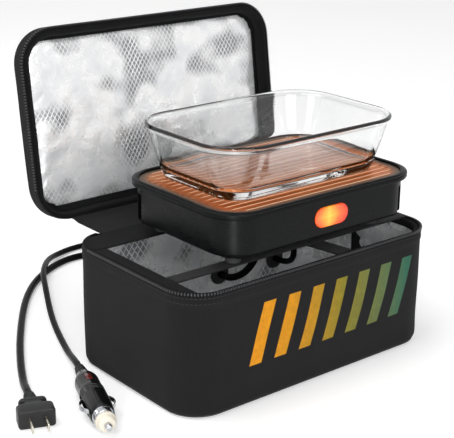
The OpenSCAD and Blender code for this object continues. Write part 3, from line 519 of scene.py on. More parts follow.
class Tree:
    """Short words for building a node tree."""

    def __init__(self, tree):
        self.tree = tree

    def add(self, kind, inputs=None, **settings):
        made = self.tree.nodes.new(kind)
        for key, value in settings.items():
            setattr(made, key, value)
        for key, value in (inputs or {}).items():
            self.set(made.inputs[key], value)
        return made

    def set(self, socket, value):
        if isinstance(value, bpy.types.NodeSocket):
            self.tree.links.new(value, socket)
        else:
            socket.default_value = value

    def math(self, operation, a, b=0.0, clamp=False):
        made = self.tree.nodes.new("ShaderNodeMath")
        made.operation, made.use_clamp = operation, clamp
        self.set(made.inputs[0], a)
        self.set(made.inputs[1], b)
        return made.outputs[0]

    def mix(self, factor, a, b):
        """A colour mix."""
        made = self.tree.nodes.new("ShaderNodeMix")
        made.data_type = "RGBA"
        self.set(made.inputs[0], factor)
        self.set(made.inputs[6], a)
        self.set(made.inputs[7], b)
        return made.outputs[2]

    def ramp(self, factor, stops):
        made = self.tree.nodes.new("ShaderNodeValToRGB")
        while len(made.color_ramp.elements) < len(stops):
            made.color_ramp.elements.new(0.5)
        for element, (spot, colour) in zip(made.color_ramp.elements, stops):
            element.position = spot
            element.color = colour if not np.isscalar(colour) else (colour, colour, colour, 1)
        self.set(made.inputs[0], factor)
        return made.outputs[0]

    def span(self, value, low, high, to_low=0.0, to_high=1.0):
        made = self.add("ShaderNodeMapRange", {"Value": value, "From Min": low, "From Max": high,
                                               "To Min": to_low, "To Max": to_high})
        return made.outputs[0]

    def noise(self, vector, scale, detail=2.0, rough=0.5):
        made = self.add("ShaderNodeTexNoise", {"Vector": vector, "Scale": scale, "Detail": detail,
                                               "Roughness": rough})
        return made.outputs["Fac"]

    def crossed(self, a, b, turn):
        """0 on two sets of slanted lines and 1 between them."""
        slopes = [self.math("MULTIPLY", self.math(way, a, b), turn) for way in ("ADD", "SUBTRACT")]
        return self.math("MINIMUM", *[self.math("ABSOLUTE", self.math("SINE", s)) for s in slopes])

    def scaled(self, vector, factors):
        return self.add("ShaderNodeVectorMath", {0: vector, 1: factors}, operation="MULTIPLY").outputs[0]


def group(name, inputs, outputs):
    """An empty node group with its sockets. Kinds are Float, Vector or Color."""
    tree = bpy.data.node_groups.new(name, "ShaderNodeTree")
    for label, kind, value in inputs:
        made = tree.interface.new_socket(label, in_out="INPUT", socket_type="NodeSocket" + kind)
        if value is not None:
            made.default_value = value
    for label, kind in outputs:
        tree.interface.new_socket(label, in_out="OUTPUT", socket_type="NodeSocket" + kind)
    t = Tree(tree)
    return t, t.add("NodeGroupInput").outputs, t.add("NodeGroupOutput").inputs


def weave_group():
    """Plain weave: threads over and under, with slubs. Vector in metres; Pitch is the thread spacing in
    metres."""
    t, i, o = group("woven_threads", [("Vector", "Vector", None), ("Pitch", "Float", 0.0007),
                                      ("Light", "Color", (0.03, 0.03, 0.03, 1)),
                                      ("Dark", "Color", (0.01, 0.01, 0.01, 1)), ("Rub", "Float", 0.3)],
                    [("Color", "Color"), ("Height", "Float"), ("Roughness", "Float")])
    across = t.add("ShaderNodeVectorMath", {0: i["Vector"]}, operation="SCALE")
    t.set(across.inputs["Scale"], t.math("DIVIDE", 1.0, i["Pitch"]))
    split = t.add("ShaderNodeSeparateXYZ", {0: across.outputs[0]})
    warp = t.math("SINE", t.math("MULTIPLY", split.outputs[0], math.pi))
    weft = t.math("SINE", t.math("MULTIPLY", split.outputs[1], math.pi))
    over = t.span(t.math("MULTIPLY", warp, weft), -0.25, 0.25)
    height = t.math("ADD", t.math("MULTIPLY", t.math("ABSOLUTE", warp), over),
                    t.math("MULTIPLY", t.math("ABSOLUTE", weft), t.math("SUBTRACT", 1.0, over)))
    slub = t.noise(t.scaled(i["Vector"], (900, 90, 90)), 1.0, 3.0)
    patch = t.noise(i["Vector"], 22.0, 3.0, 0.6)
    slubbed = t.math("MULTIPLY", t.math("SUBTRACT", slub, 0.3), 0.7)
    # Thread tops are drawn lighter and the dips between threads darker: painted shade; the slubs add real
    # tone.
    light = t.math("ADD", t.math("MULTIPLY", height, 0.6), slubbed, True)
    tone = t.mix(light, i["Dark"], i["Light"])
    rubbed = t.math("MULTIPLY", t.span(patch, 0.45, 0.75), i["Rub"])
    t.set(o["Color"], t.mix(rubbed, tone, i["Light"]))
    t.set(o["Height"], t.math("ADD", height, t.math("MULTIPLY", slub, 0.5)))
    t.set(o["Roughness"], t.span(patch, 0.2, 0.8, 0.72, 0.9))
    return t.tree


def foil_group():
    """Quilted foil: soft creases, puckers and patches of a fine diamond emboss. Vector lies flat on the
    foil in X and Y."""
    t, i, o = group("crinkled_foil", [("Vector", "Vector", None), ("Diamond", "Float", 0.0042),
                                      ("Emboss", "Float", 0.5), ("Crease", "Float", 1.0)],
                    [("Color", "Color"), ("Height", "Float"), ("Roughness", "Float")])
    bent = t.add("ShaderNodeTexNoise", {"Vector": i["Vector"], "Scale": 26.0, "Detail": 2.0})
    shifted = t.add("ShaderNodeVectorMath", {0: bent.outputs["Color"], 1: (0.5, 0.5, 0.5)},
                    operation="SUBTRACT")
    pushed = t.add("ShaderNodeVectorMath", {0: shifted.outputs[0], 1: (0.018,) * 3, 2: i["Vector"]},
                   operation="MULTIPLY_ADD")
    creases = t.add("ShaderNodeTexVoronoi", {"Vector": pushed.outputs[0], "Scale": 42.0},
                    feature="DISTANCE_TO_EDGE")
    fine = t.add("ShaderNodeTexVoronoi", {"Vector": pushed.outputs[0], "Scale": 150.0},
                 feature="DISTANCE_TO_EDGE")
    split = t.add("ShaderNodeSeparateXYZ", {0: i["Vector"]})
    turn = t.math("DIVIDE", math.pi, i["Diamond"])
    tall = t.math("MULTIPLY", split.outputs[1], 0.68)
    cell = t.span(t.crossed(split.outputs[0], tall, turn), 0.12, 0.4)
    where = t.span(t.noise(i["Vector"], 19.0, 2.0, 0.55), 0.52, 0.64)
    sunk = t.math("MULTIPLY", t.math("MULTIPLY", cell, where), i["Emboss"])
    ridge = t.span(creases.outputs["Distance"], 0.0, 0.3, 0.0, 1.0)
    small = t.span(fine.outputs["Distance"], 0.0, 0.35, 0.0, 0.22)
    height = t.math("MULTIPLY", t.math("ADD", ridge, small), i["Crease"])
    t.set(o["Height"], t.math("SUBTRACT", height, t.math("MULTIPLY", sunk, 0.25)))
    dull = t.noise(i["Vector"], 40.0, 3.0, 0.6)
    tone = t.mix(t.span(dull, 0.35, 0.6), srgb("eceef0"), srgb("ffffff"))
    # The sunk diamond cells are drawn grey: painted shade in the emboss.
    t.set(o["Color"], t.mix(t.math("MULTIPLY", sunk, 0.85), tone, srgb("6f7377")))
    t.set(o["Roughness"], t.span(dull, 0.3, 0.7, 0.34, 0.22))
    return t.tree


def grain_group():
    """Moulded skin: fine grain, handling marks and a little dust in the open."""
    t, i, o = group("moulded_grain", [("Vector", "Vector", None), ("Grain", "Float", 1600.0),
                                      ("Base", "Color", (0.02, 0.02, 0.02, 1)),
                                      ("Dust", "Color", (0.2, 0.2, 0.2, 1)), ("Dust amount", "Float", 0.04),
                                      ("Roughness", "Float", 0.35)],
                    [("Color", "Color"), ("Height", "Float"), ("Roughness", "Float")])
    grain = t.noise(i["Vector"], i["Grain"], 2.0)
    marks = t.noise(t.scaled(i["Vector"], (60, 60, 160)), 1.0, 4.0, 0.65)
    specks = t.span(t.noise(i["Vector"], 900.0, 1.0), 0.66, 0.74)
    dusty = t.math("MULTIPLY", t.math("ADD", t.math("MULTIPLY", marks, 0.6),
                                      t.math("MULTIPLY", specks, 0.8)), i["Dust amount"])
    t.set(o["Color"], t.mix(dusty, i["Base"], i["Dust"]))
    t.set(o["Height"], grain)
    t.set(o["Roughness"], t.math("ADD", i["Roughness"], t.span(marks, 0.3, 0.7, -0.06, 0.08)))
    return t.tree


WEAVE, FOIL, GRAIN = weave_group(), foil_group(), grain_group()
DULL_SHEEN = {"Sheen_Weight": 0.03, "Sheen_Roughness": 0.5, "Specular_IOR_Level": 0.12}


def finish(name, **shader):
    """A material: its tree, its shader node and the coordinate sockets."""
    material = bpy.data.materials.new(name)
    material.use_nodes = True
    t = Tree(material.node_tree)
    principled = material.node_tree.nodes["Principled BSDF"]
    for key, value in shader.items():
        principled.inputs[key.replace("_", " ")].default_value = value
    coordinates = t.add("ShaderNodeTexCoord").outputs
    return material, t, principled, coordinates


def raise_surface(t, principled, height, distance, strength=1.0):
    """Bump from a height. distance is in metres."""
    bump = t.add("ShaderNodeBump", {"Height": height, "Distance": distance, "Strength": strength})
    t.set(principled.inputs["Normal"], bump.outputs["Normal"])


def paint(t, principled, skin):
    """Colour and roughness from a node group."""
    for key, output in (("Base Color", "Color"), ("Roughness", "Roughness")):
        t.set(principled.inputs[key], skin.outputs[output])


def woven(t, vector, pitch, light, dark, rub):
    """The thread group with its values."""
    return t.add("ShaderNodeGroup", {"Vector": vector, "Pitch": pitch, "Light": srgb(light),
                                     "Dark": srgb(dark), "Rub": rub}, node_tree=WEAVE)


def cloth_finish(name, light, dark, pitch, rub=0.25, distance=0.00025, use_uv=True, **shader):
    material, t, principled, coordinates = finish(name, **shader)
    weave = woven(t, coordinates["UV" if use_uv else "Object"], pitch, light, dark, rub)
    paint(t, principled, weave)
    raise_surface(t, principled, weave.outputs["Height"], distance)
    return material


def printed_finish():
    """The cover's cloth with slanted bars printed on the front, amber at the left to green at the right."""
    material, t, principled, coordinates = finish("printed_cover", **DULL_SHEEN)
    weave = woven(t, coordinates["UV"], 0.0008, "202021", "101011", 0.25)
    x, y, z = t.add("ShaderNodeSeparateXYZ", {0: coordinates["Object"]}).outputs
    u = t.math("SUBTRACT", x, t.math("MULTIPLY", z, 0.3))
    step = t.math("PINGPONG", t.math("ADD", u, 1.0025), 0.0135)
    bar = t.span(step, 0.0062, 0.0066, 1.0, 0.0)
    tall = t.math("MULTIPLY", t.span(z, 0.0362, 0.0366), t.span(z, 0.0886, 0.089, 1.0, 0.0))
    wide = t.math("MULTIPLY", t.span(u, -0.102, -0.1018), t.span(u, 0.0855, 0.0857, 1.0, 0.0))
    front = t.span(y, -0.0805, -0.08, 1.0, 0.0)
    inked = t.math("MULTIPLY", t.math("MULTIPLY", bar, tall), t.math("MULTIPLY", wide, front))
    worn = t.span(t.noise(coordinates["Object"], 160.0, 4.0, 0.7), 0.3, 0.7, 0.74, 1.0)
    ink = t.ramp(t.span(x, -0.086, 0.104), [(0.0, srgb("f7a11a")), (0.3, srgb("e09a1e")),
                                            (0.58, srgb("94892c")), (1.0, srgb("39705a"))])
    # The print is drawn paler on thread tops and darker between threads: painted shade.
    threads = t.mix(t.span(weave.outputs["Height"], 0.1, 1.1), [0.78, 0.78, 0.78, 1], [1.1, 1.1, 1.1, 1])
    shaded = t.add("ShaderNodeMix", data_type="RGBA", blend_type="MULTIPLY")
    for k, value in ((0, 1.0), (6, ink), (7, threads)):
        t.set(shaded.inputs[k], value)
    t.set(principled.inputs["Base Color"], t.mix(t.math("MULTIPLY", inked, worn), weave.outputs["Color"],
                                                 shaded.outputs[2]))
    t.set(principled.inputs["Roughness"], t.math("SUBTRACT", weave.outputs["Roughness"],
                                                 t.math("MULTIPLY", inked, 0.15)))
    raise_surface(t, principled, t.math("ADD", weave.outputs["Height"], t.math("MULTIPLY", inked, 0.3)),
                  0.00025)
    return material


def plastic_finish(name, base, rough, dust=0.04, grain=1600.0, distance=0.00004, dust_tone="9a9a98",
                   **shader):
    material, t, principled, coordinates = finish(name, **shader)
    skin = t.add("ShaderNodeGroup", {
        "Vector": coordinates["Object"], "Grain": grain, "Base": srgb(base), "Dust": srgb(dust_tone),
        "Dust amount": dust, "Roughness": rough}, node_tree=GRAIN)
    paint(t, principled, skin)
    raise_surface(t, principled, skin.outputs["Height"], distance)
    return material


def webbing_finish(name, light, dark):
    """Woven tape with ribs across its length."""
    material, t, principled, coordinates = finish(name, Sheen_Weight=0.05, Sheen_Roughness=0.5,
                                                  Specular_IOR_Level=0.3)
    split = t.add("ShaderNodeSeparateXYZ", {0: coordinates["UV"]})
    weave = woven(t, coordinates["UV"], 0.0011, light, dark, 0.35)
    zigzag = t.math("PINGPONG", split.outputs[0], 0.0035)
    ribs = t.math("SINE", t.math("MULTIPLY", t.math("ADD", split.outputs[1], zigzag), math.tau / 0.0022))
    paint(t, principled, weave)
    raise_surface(t, principled, t.math("ADD", t.math("MULTIPLY", weave.outputs["Height"], 0.5), ribs),
                  0.00018)
    return material


def foil_finish(name, diamond, emboss, crease, upright, metallic):
    """Foil laid out by its UV map, or on an upright sheet by X and Z."""
    material, t, principled, coordinates = finish(name, Metallic=metallic, Specular_IOR_Level=0.8)
    flat = coordinates["UV"]
    if upright:
        split = t.add("ShaderNodeSeparateXYZ", {0: coordinates["Object"]}).outputs
        flat = t.add("ShaderNodeCombineXYZ", {0: split[0], 1: split[2], 2: split[1]}).outputs[0]
    skin = t.add("ShaderNodeGroup", {"Vector": flat, "Diamond": diamond, "Emboss": emboss,
                                     "Crease": crease}, node_tree=FOIL)
    paint(t, principled, skin)
    raise_surface(t, principled, skin.outputs["Height"], 0.0005)
    return material


def metal_finish(name, tone, rough, along=(1, 1, 1)):
    """Bare metal with fine drawn lines."""
    material, t, principled, coordinates = finish(name, Metallic=1.0)
    lines = t.noise(t.scaled(coordinates["Object"], tuple(900 * a for a in along)), 1.0, 3.0, 0.6)
    tarnish = t.noise(coordinates["Object"], 180.0, 3.0, 0.6)
    dark = [c * 0.62 for c in srgb(tone)[:3]] + [1]
    t.set(principled.inputs["Base Color"], t.mix(t.span(tarnish, 0.35, 0.75), srgb(tone), dark))
    t.set(principled.inputs["Roughness"], t.span(lines, 0.3, 0.7, rough - 0.05, rough + 0.1))
    raise_surface(t, principled, lines, 0.00003)
    return material


def plate_finish():
    """Copper-coloured heating plate: warm middle, rib crests painted pale as a highlight, and a greyish
    margin.
    """
    material, t, principled, coordinates = finish("copper_plate", Metallic=0.75)
    x, _, z = t.add("ShaderNodeSeparateXYZ", {0: coordinates["Object"]}).outputs
    drawn = t.noise(t.scaled(coordinates["Object"], (25, 1400, 1400)), 1.0, 3.0, 0.6)
    cloud = t.noise(coordinates["Object"], 28.0, 3.0, 0.6)
    margin = t.add("ShaderNodeAttribute", attribute_name="margin").outputs["Fac"]
    warm = t.mix(t.span(cloud, 0.35, 0.65), srgb("d06a24"), srgb("dd7f38"))
    lined = t.mix(t.span(drawn, 0.35, 0.7, 0.0, 0.3), warm, srgb("94521f"))
    ends = t.span(t.math("ABSOLUTE", t.math("SUBTRACT", x, mm(BASE_X))), 0.0885, 0.0935)
    edge = t.math("ADD", margin, t.span(cloud, 0.3, 0.7, -0.08, 0.08), True)
    # Rib tops are painted pale, leaving out the rib ends: a painted highlight.
    painted_crest_highlight = t.math("MULTIPLY", t.span(z, 0.16045, 0.16075), t.math("SUBTRACT", 1.0, ends, True))
    t.set(principled.inputs["Base Color"], t.mix(t.math("MULTIPLY", painted_crest_highlight, 0.85),
                                                 t.mix(edge, lined, srgb("6e5a4a")), srgb("ffd9b4")))
    t.set(principled.inputs["Roughness"], t.math("ADD", t.span(drawn, 0.3, 0.7, 0.3, 0.45),
                                                 t.math("MULTIPLY", edge, 0.1)))
    raise_surface(t, principled, drawn, 0.00005)
    return material


def lens_finish():
    """Lit lens: amber in the left middle, red-orange to the ends, over a fine cross-cut."""
    material, t, principled, coordinates = finish("lens_plastic", Roughness=0.22, Coat_Weight=0.6,
                                                  Coat_Roughness=0.08)
    split = t.add("ShaderNodeSeparateXYZ", {0: coordinates["Object"]})
    x, z = split.outputs[0], split.outputs[2]
    hot_x, hot_z = 18.5, 141.5
    away = t.math("ABSOLUTE", t.math("SUBTRACT", x, mm(hot_x)))
    rise = t.math("ABSOLUTE", t.math("SUBTRACT", z, mm(hot_z)))
    along, up = t.math("DIVIDE", away, mm(22)), t.math("DIVIDE", rise, mm(11))
    spread = t.math("ADD", along, t.math("MULTIPLY", up, 0.35), True)
    glow = t.ramp(spread, [(0.0, srgb("ffd84a")), (0.3, srgb("ffae2b")), (0.62, srgb("ff6a1c")),
                           (1.0, srgb("e0330f"))])
    turn = math.pi / mm(2.1)
    cut = t.crossed(x, z, turn)
    shown = t.mix(t.span(cut, 0.0, 0.55, 0.75, 0.0), glow, srgb("b02c08"))
    t.set(principled.inputs["Base Color"], shown)
    t.set(principled.inputs["Emission Color"], shown)
    principled.inputs["Emission Strength"].default_value = 0.5
    raise_surface(t, principled, cut, 0.0003)
    return material


def glass_finish():
    material, t, principled, coordinates = finish("dish_glass", Roughness=0.02, IOR=1.5,
                                                  Transmission_Weight=1.0)
    wave = t.noise(coordinates["Object"], 45.0, 2.0)
    t.set(principled.inputs["Base Color"], t.mix(t.span(wave, 0.3, 0.7), (0.97, 0.985, 0.98, 1),
                                                 (0.99, 0.985, 0.985, 1)))
    raise_surface(t, principled, wave, 0.0004, 0.25)
    return material


def board_finish():
    material, t, principled, coordinates = finish("circuit_board", Roughness=0.45)
    split = t.add("ShaderNodeSeparateXYZ", {0: coordinates["Object"]})
    lines = t.math("SINE", t.math("MULTIPLY", split.outputs[0], math.tau / 0.003))
    patch = t.add("ShaderNodeTexVoronoi", {"Vector": coordinates["Object"], "Scale": 160.0})
    tone = t.mix(t.span(lines, 0.5, 0.7), srgb("24603b"), srgb("3c7d4e"))
    t.set(principled.inputs["Base Color"], t.mix(t.span(patch.outputs["Distance"], 0.2, 0.22, 1.0, 0.0),
                                                 tone, srgb("c8b98a")))
    raise_surface(t, principled, lines, 0.00005)
    return material


def fibre_finish(name, light, dark, scale=500.0, distance=0.0003):
    """Felted or pressed fibre."""
    material, t, principled, coordinates = finish(name, Roughness=0.9)
    strands = t.noise(t.scaled(coordinates["Object"], (1, 1, 3)), scale, 4.0, 0.7)
    t.set(principled.inputs["Base Color"], t.mix(t.span(strands, 0.3, 0.7), srgb(dark), srgb(light)))
    raise_surface(t, principled, strands, distance)
    return material


COVER_CLOTH = cloth_finish("woven_cover", "202021", "101011", 0.0008, **DULL_SHEEN)
PRINTED_CLOTH = printed_finish()
BINDING = cloth_finish("binding_tape", "131314", "080809", 0.0006, 0.2, 0.0002, **DULL_SHEEN)
FACING = cloth_finish("facing_cloth", "141415", "090909", 0.0007, 0.2, 0.0002, Sheen_Weight=0.02,
                      Specular_IOR_Level=0.12)
WEBBING = webbing_finish("webbing", "1a1a1b", "0a0a0b")
THREAD = cloth_finish("stitch_thread", "38383a", "1c1c1e", 0.0004, 0.1, 0.0001, use_uv=False)
LINING = foil_finish("foil", 0.0062, 1.0, 1.0, False, 0.3)
LID_FOIL = foil_finish("lid_foil", 0.0046, 1.0, 0.6, True, 0.4)
ZIP_PLASTIC = plastic_finish("zip_plastic", "2c2c2f", 0.32, 0.06)
ZIP_METAL = metal_finish("zip_metal", "8d9096", 0.3)
RUBBER = plastic_finish("port_rubber", "242426", 0.6, 0.08, 900.0)
FOOT = plastic_finish("foot_rubber", "2b2b2d", 0.7, 0.12, 900.0)
HOUSING = plastic_finish("housing", "08090a", 0.28, 0.01, 1400.0, 0.00003, Specular_IOR_Level=0.13)
LIP = plastic_finish("lip_plastic", "060708", 0.34, 0.012, Specular_IOR_Level=0.1)
PLATE = plate_finish()
LENS = lens_finish()
GLASS = glass_finish()
SHEATH = plastic_finish("cord_sheath", "050506", 0.2, 0.01, 700.0, 0.00003, Specular_IOR_Level=0.05)
PLUG = plastic_finish("plug_plastic", "121314", 0.42, 0.04, Specular_IOR_Level=0.35)
CAR_PLUG = plastic_finish("car_plug_plastic", "050506", 0.2, 0.015, 1400.0, 0.00002, Coat_Weight=0.08,
                          Specular_IOR_Level=0.25)
BLADE = metal_finish("blade_nickel", "dcd7c9", 0.2)
BRIGHT = metal_finish("bright_metal", "d2d4d8", 0.2)
NOSE = plastic_finish("nose_plastic", "e6dfcf", 0.45, 0.1, 900.0, 0.00004, "8b8474")
LIGHT_LENS = plastic_finish("light_lens", "5c1712", 0.15, 0.02, Coat_Weight=0.3)
CERAMIC = plastic_finish("fuse_ceramic", "d9d2b8", 0.5, 0.1, 800.0)
STEEL = metal_finish("spring_steel", "9a9ca0", 0.3)
SCREW = metal_finish("screw_steel", "8a8c90", 0.32)
ELEMENT = metal_finish("element_foil", "9a9da3", 0.35, (0.1, 1, 1))
CUTOUT = metal_finish("cutout_metal", "c8a070", 0.3)
CIRCUIT = board_finish()
MAT_FIBRE = fibre_finish("mat_fibre", "e6e2d6", "b9b3a2")
STIFF_BOARD = fibre_finish("board", "4a4a4c", "2c2c2e", 300.0, 0.0001)
LED_BODY = plastic_finish("led", "ff8a3c", 0.2, 0.02, Emission_Color=(1, 0.35, 0.08, 1),
                          Emission_Strength=0.6)

# ---- Cords, with the routes of the CAD source ----


def smoothed(points, n):
    """The source's smooth curve through its points, n stretches between each pair."""
    p = [np.array(q, float) for q in points]
    last = len(p) - 1
    found = []
    for i in range(last):
        a, b, c, d = p[max(i - 1, 0)], p[i], p[i + 1], p[min(i + 2, last)]
        for k in range(n):
            t = k / n
            found.append(0.5 * (2 * b + (c - a) * t + (2 * a - 5 * b + 4 * c - d) * t * t
                                + (3 * b - a - 3 * c + d) * t**3))
    return found + [p[last]]


def coil(at, r, pitch, low):
    """The two-layer coil of the source."""
    turns, start, sense, rings = 4, 180, -1, 40
    found = []
    for k in range(rings * turns + 1):
        u = k / rings
        a = math.radians(start + sense * 360 * u)
        rad = r - pitch * min(u, turns - u)
        t = clamped((u - turns / 2 + 0.25) * 2)
        found.append(np.array([at[0] + rad * math.cos(a), at[1] + rad * math.sin(a),
                               low + pitch * t * t * (3 - 2 * t)]))
    return found


AC_HIGH, DC_HIGH = 11.1, 9.6
AC_LEAD = [(24, SLEEVE_END, PORT_Z), (23.4, 116, 39.1), (21.8, 123.3, 36.4), (19.2, 129.5, 32.2),
           (16.8, 134.4, 26.8), (14.9, 137.8, 21.4), (12.2, 142.4, 14.6), (9, 148.4, 9.2), (6, 155.4, 5.4),
           (4.4, 161.8, 3.8), (4, 167, 3.5), (4, 171, 3.5)]
AC_RUN = [(4, 185, AC_HIGH), (4, 189, AC_HIGH), (4.4, 197, 10.4), (6.8, 208, 8), (11.5, 220, 5.7),
          (17, 232, 4.2), (21.2, 244, 3.6), (22, 254, 3.5), (19.8, 265.2, 3.5), (13.6, 274.8, 3.5),
          (4.2, 281.4, 3.5), (-8, 284, 3.5), (-24, 282, 3.5), (-44, 274, 3.5), (-66, 260, 3.5),
          (-89, 240, 3.5), (-113, 212, 3.5), (-139, 175, 3.5), (-168, 129, 3.5), (-191, 88, 3.5),
          (-206, 58, 4.4), (-213, 41.7, 6.8), (-216.6, 32.9, 8), (-218.4, 28.4, 8)]
DC_LEAD = [(94, SLEEVE_END, PORT_Z), (94.1, 115.6, 39.1), (94.6, 122.4, 36.5), (95.3, 128.4, 32.3),
           (96, 132.9, 27.2), (96.7, 136.4, 21.2), (97.6, 141, 14), (98.5, 146.8, 8.4), (99.4, 153.4, 4.8),
           (99.9, 159.5, 3.3), (100, 164, 3)]
DC_RUN = [(100, 176, DC_HIGH), (100, 180, DC_HIGH), (100.3, 187, 8.9), (101.3, 197, 6.6), (103, 209, 4.4),
          (105, 222, 3.3), (105, 240, 3), (100, 262, 3), (89, 281, 3), (72, 297, 3), (50, 306, 3),
          (25, 310, 3), (0, 309, 3.2), (-23, 300, 4.6), (-41, 286, 7.6), (-58, 266, 10.6), (-73, 244, 11.2),
          (-86, 219, 9.2), (-99, 193, 6), (-112, 166, 3.8), (-125, 136, 3.1), (-137, 105, 3.4),
          (-146, 81.5, 5.2), (-153, 63, 8.5), (-158, 49.7, 10.6), (-161.4, 40.7, 11)]
INNER_WAY = [(0, 0, 112.15), (0, 0, 103), (0.012, 0, 89), (0.09, 0.007, 77), (0.28, 0.044, 66.5),
             (0.5, 0.131, 57.5), (0.715, 0.266, 50), (0.887, 0.435, 44.7), (0.983, 0.629, 41.3),
             (1, 0.822, 40), (1, 1, 40)]
AC_PLUG_AT, AC_HEADING = (-218.5, 28.2, 8), 248.3
CAR_PLUG_AT, CAR_HEADING = (-161.4, 40.7, 11), 249.1


def make_cord(name, lead, spiral, run, diameter):
    path = np.array(smoothed(lead, 3)[:-1] + spiral + smoothed(run, 3)[1:]) * MM
    piece = sweep(name, path, mm(diameter) / 2, SHEATH)
    return piece, path


ac_cord, ac_path = make_cord("ac_cord", AC_LEAD, coil((48, 178), 44, 7.6, 3.5), AC_RUN, AC_D)
dc_cord, dc_path = make_cord("dc_cord", DC_LEAD, coil((138, 170), 38, 6.6, 3), DC_RUN, DC_D)
dress(ac_cord, "bag", "cord_sheath", "ac_lead", "ac_coil", "ac_run")
dress(dc_cord, "bag", "cord_sheath", "dc_lead", "dc_coil", "dc_run")


def inner_lead(name, x0, x1, diameter):
    """A lead inside the bag, from the base down to its port."""
    y0, y1 = 37, 78.2
    points = [(x0 + a * (x1 - x0), y0 + b * (y1 - y0), z) for a, b, z in INNER_WAY]
    path = np.array(smoothed(points, 3)) * MM
    piece = sweep(name, path, mm(diameter) / 2, SHEATH, sides=10)
    dress(piece, "bag", "cord_sheath", "inner_leads")
    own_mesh(piece)


inner_lead("inner_lead_ac", 38, PORT_AC_X, AC_D)
inner_lead("inner_lead_dc", 78, PORT_DC_X, DC_D)

# ---- Plugs ----


def plug_matrix(at, heading):
    """A plug lies on the floor: its Z runs along it and its -X is up."""
    return slid(*at) @ spun(heading, "Z") @ spun(90, "Y")


AC_PLUG, CAR_PLUG_FRAME = plug_matrix(AC_PLUG_AT, AC_HEADING), plug_matrix(CAR_PLUG_AT, CAR_HEADING)


def sleeve(name, r_small, r_big, length, grooves, finish_used):
    """A tapered strain relief with moulded rings."""
    profile = [(r_small - 0.7, 0), (r_small, 0.35)]
    step = length / grooves
    for k in range(grooves):
        base = r_small + (r_big - r_small) * (k + 0.5) / grooves
        z = k * step
        profile += [(base, z + 0.12 * step + 0.3), (base + 0.15, z + 0.3 * step), (base, z + 0.52 * step),
                    (base - 1.1, z + 0.6 * step), (base - 1.15, z + 0.84 * step),
                    (base + 0.1, z + 0.94 * step)]
    profile += [(r_big, length - 0.2), (r_big, length)]
    return sharpen(revolve(name, profile, finish_used, 36), 30)


def section_loft(name, sections, finish_used):
    """Rounded rectangles (z, height, width, radius) along the local Z; height lies on X."""
    rings = [ring_at(0, z, h, w, r, long_n=8, short_n=12, corner_n=6) for z, h, w, r in sections]
    return sharpen(loft(name, rings, finish_used), 40)


def make_ac_plug():
    relief = place(sleeve("ac_relief", 4.4, 6.4, 16, 4, PLUG), AC_PLUG)
    dress(relief, "bag", "plug_plastic", "ac_strain_relief")
    body = section_loft("ac_plug", [(16, 10, 11, 4.6), (16.2, 12.4, 15.5, 5), (16.9, 13.7, 18.2, 5),
                                    (17.8, 14, 19, 4.6), (18.1, 14.8, 22.4, 4.2), (18.5, 15, 23, 4),
                                    (20.5, 15, 23, 4), (20.9, 14.8, 22.4, 4.2), (21.3, 13.8, 19.4, 4.6),
                                    (24.5, 13.6, 19, 4.6), (27.2, 14.2, 21, 4.4), (28.6, 15.4, 26, 3.6),
                                    (29.4, 15.9, 29, 3), (30.2, 16, 30, 2.8), (41.4, 16, 30, 2.8),
                                    (42.4, 15.6, 29.5, 2.7), (42.9, 14.6, 28.4, 2.3), (43, 13, 27, 2)],
                        PLUG)
    place(body, AC_PLUG)
    dress(body, "bag", "plug_plastic", "ac_plug_body")
    blades = []
    for side in (-1, 1):
        y = side * 12.7 / 2
        blade = block(-3.15, y - 0.75, 42.9, 3.15, y + 0.75, 60, BLADE, 0.35)
        hole = drill(1.6, -2, 2, slid(0, y, 55.5) @ spun(90, "X"))
        blades.append(sharpen(carved(blade, hole)))
    blades = place(merged("ac_blades", blades), AC_PLUG)
    dress(blades, "bag", "blade_brass", "ac_plug_blades")
    return [relief, body, blades]


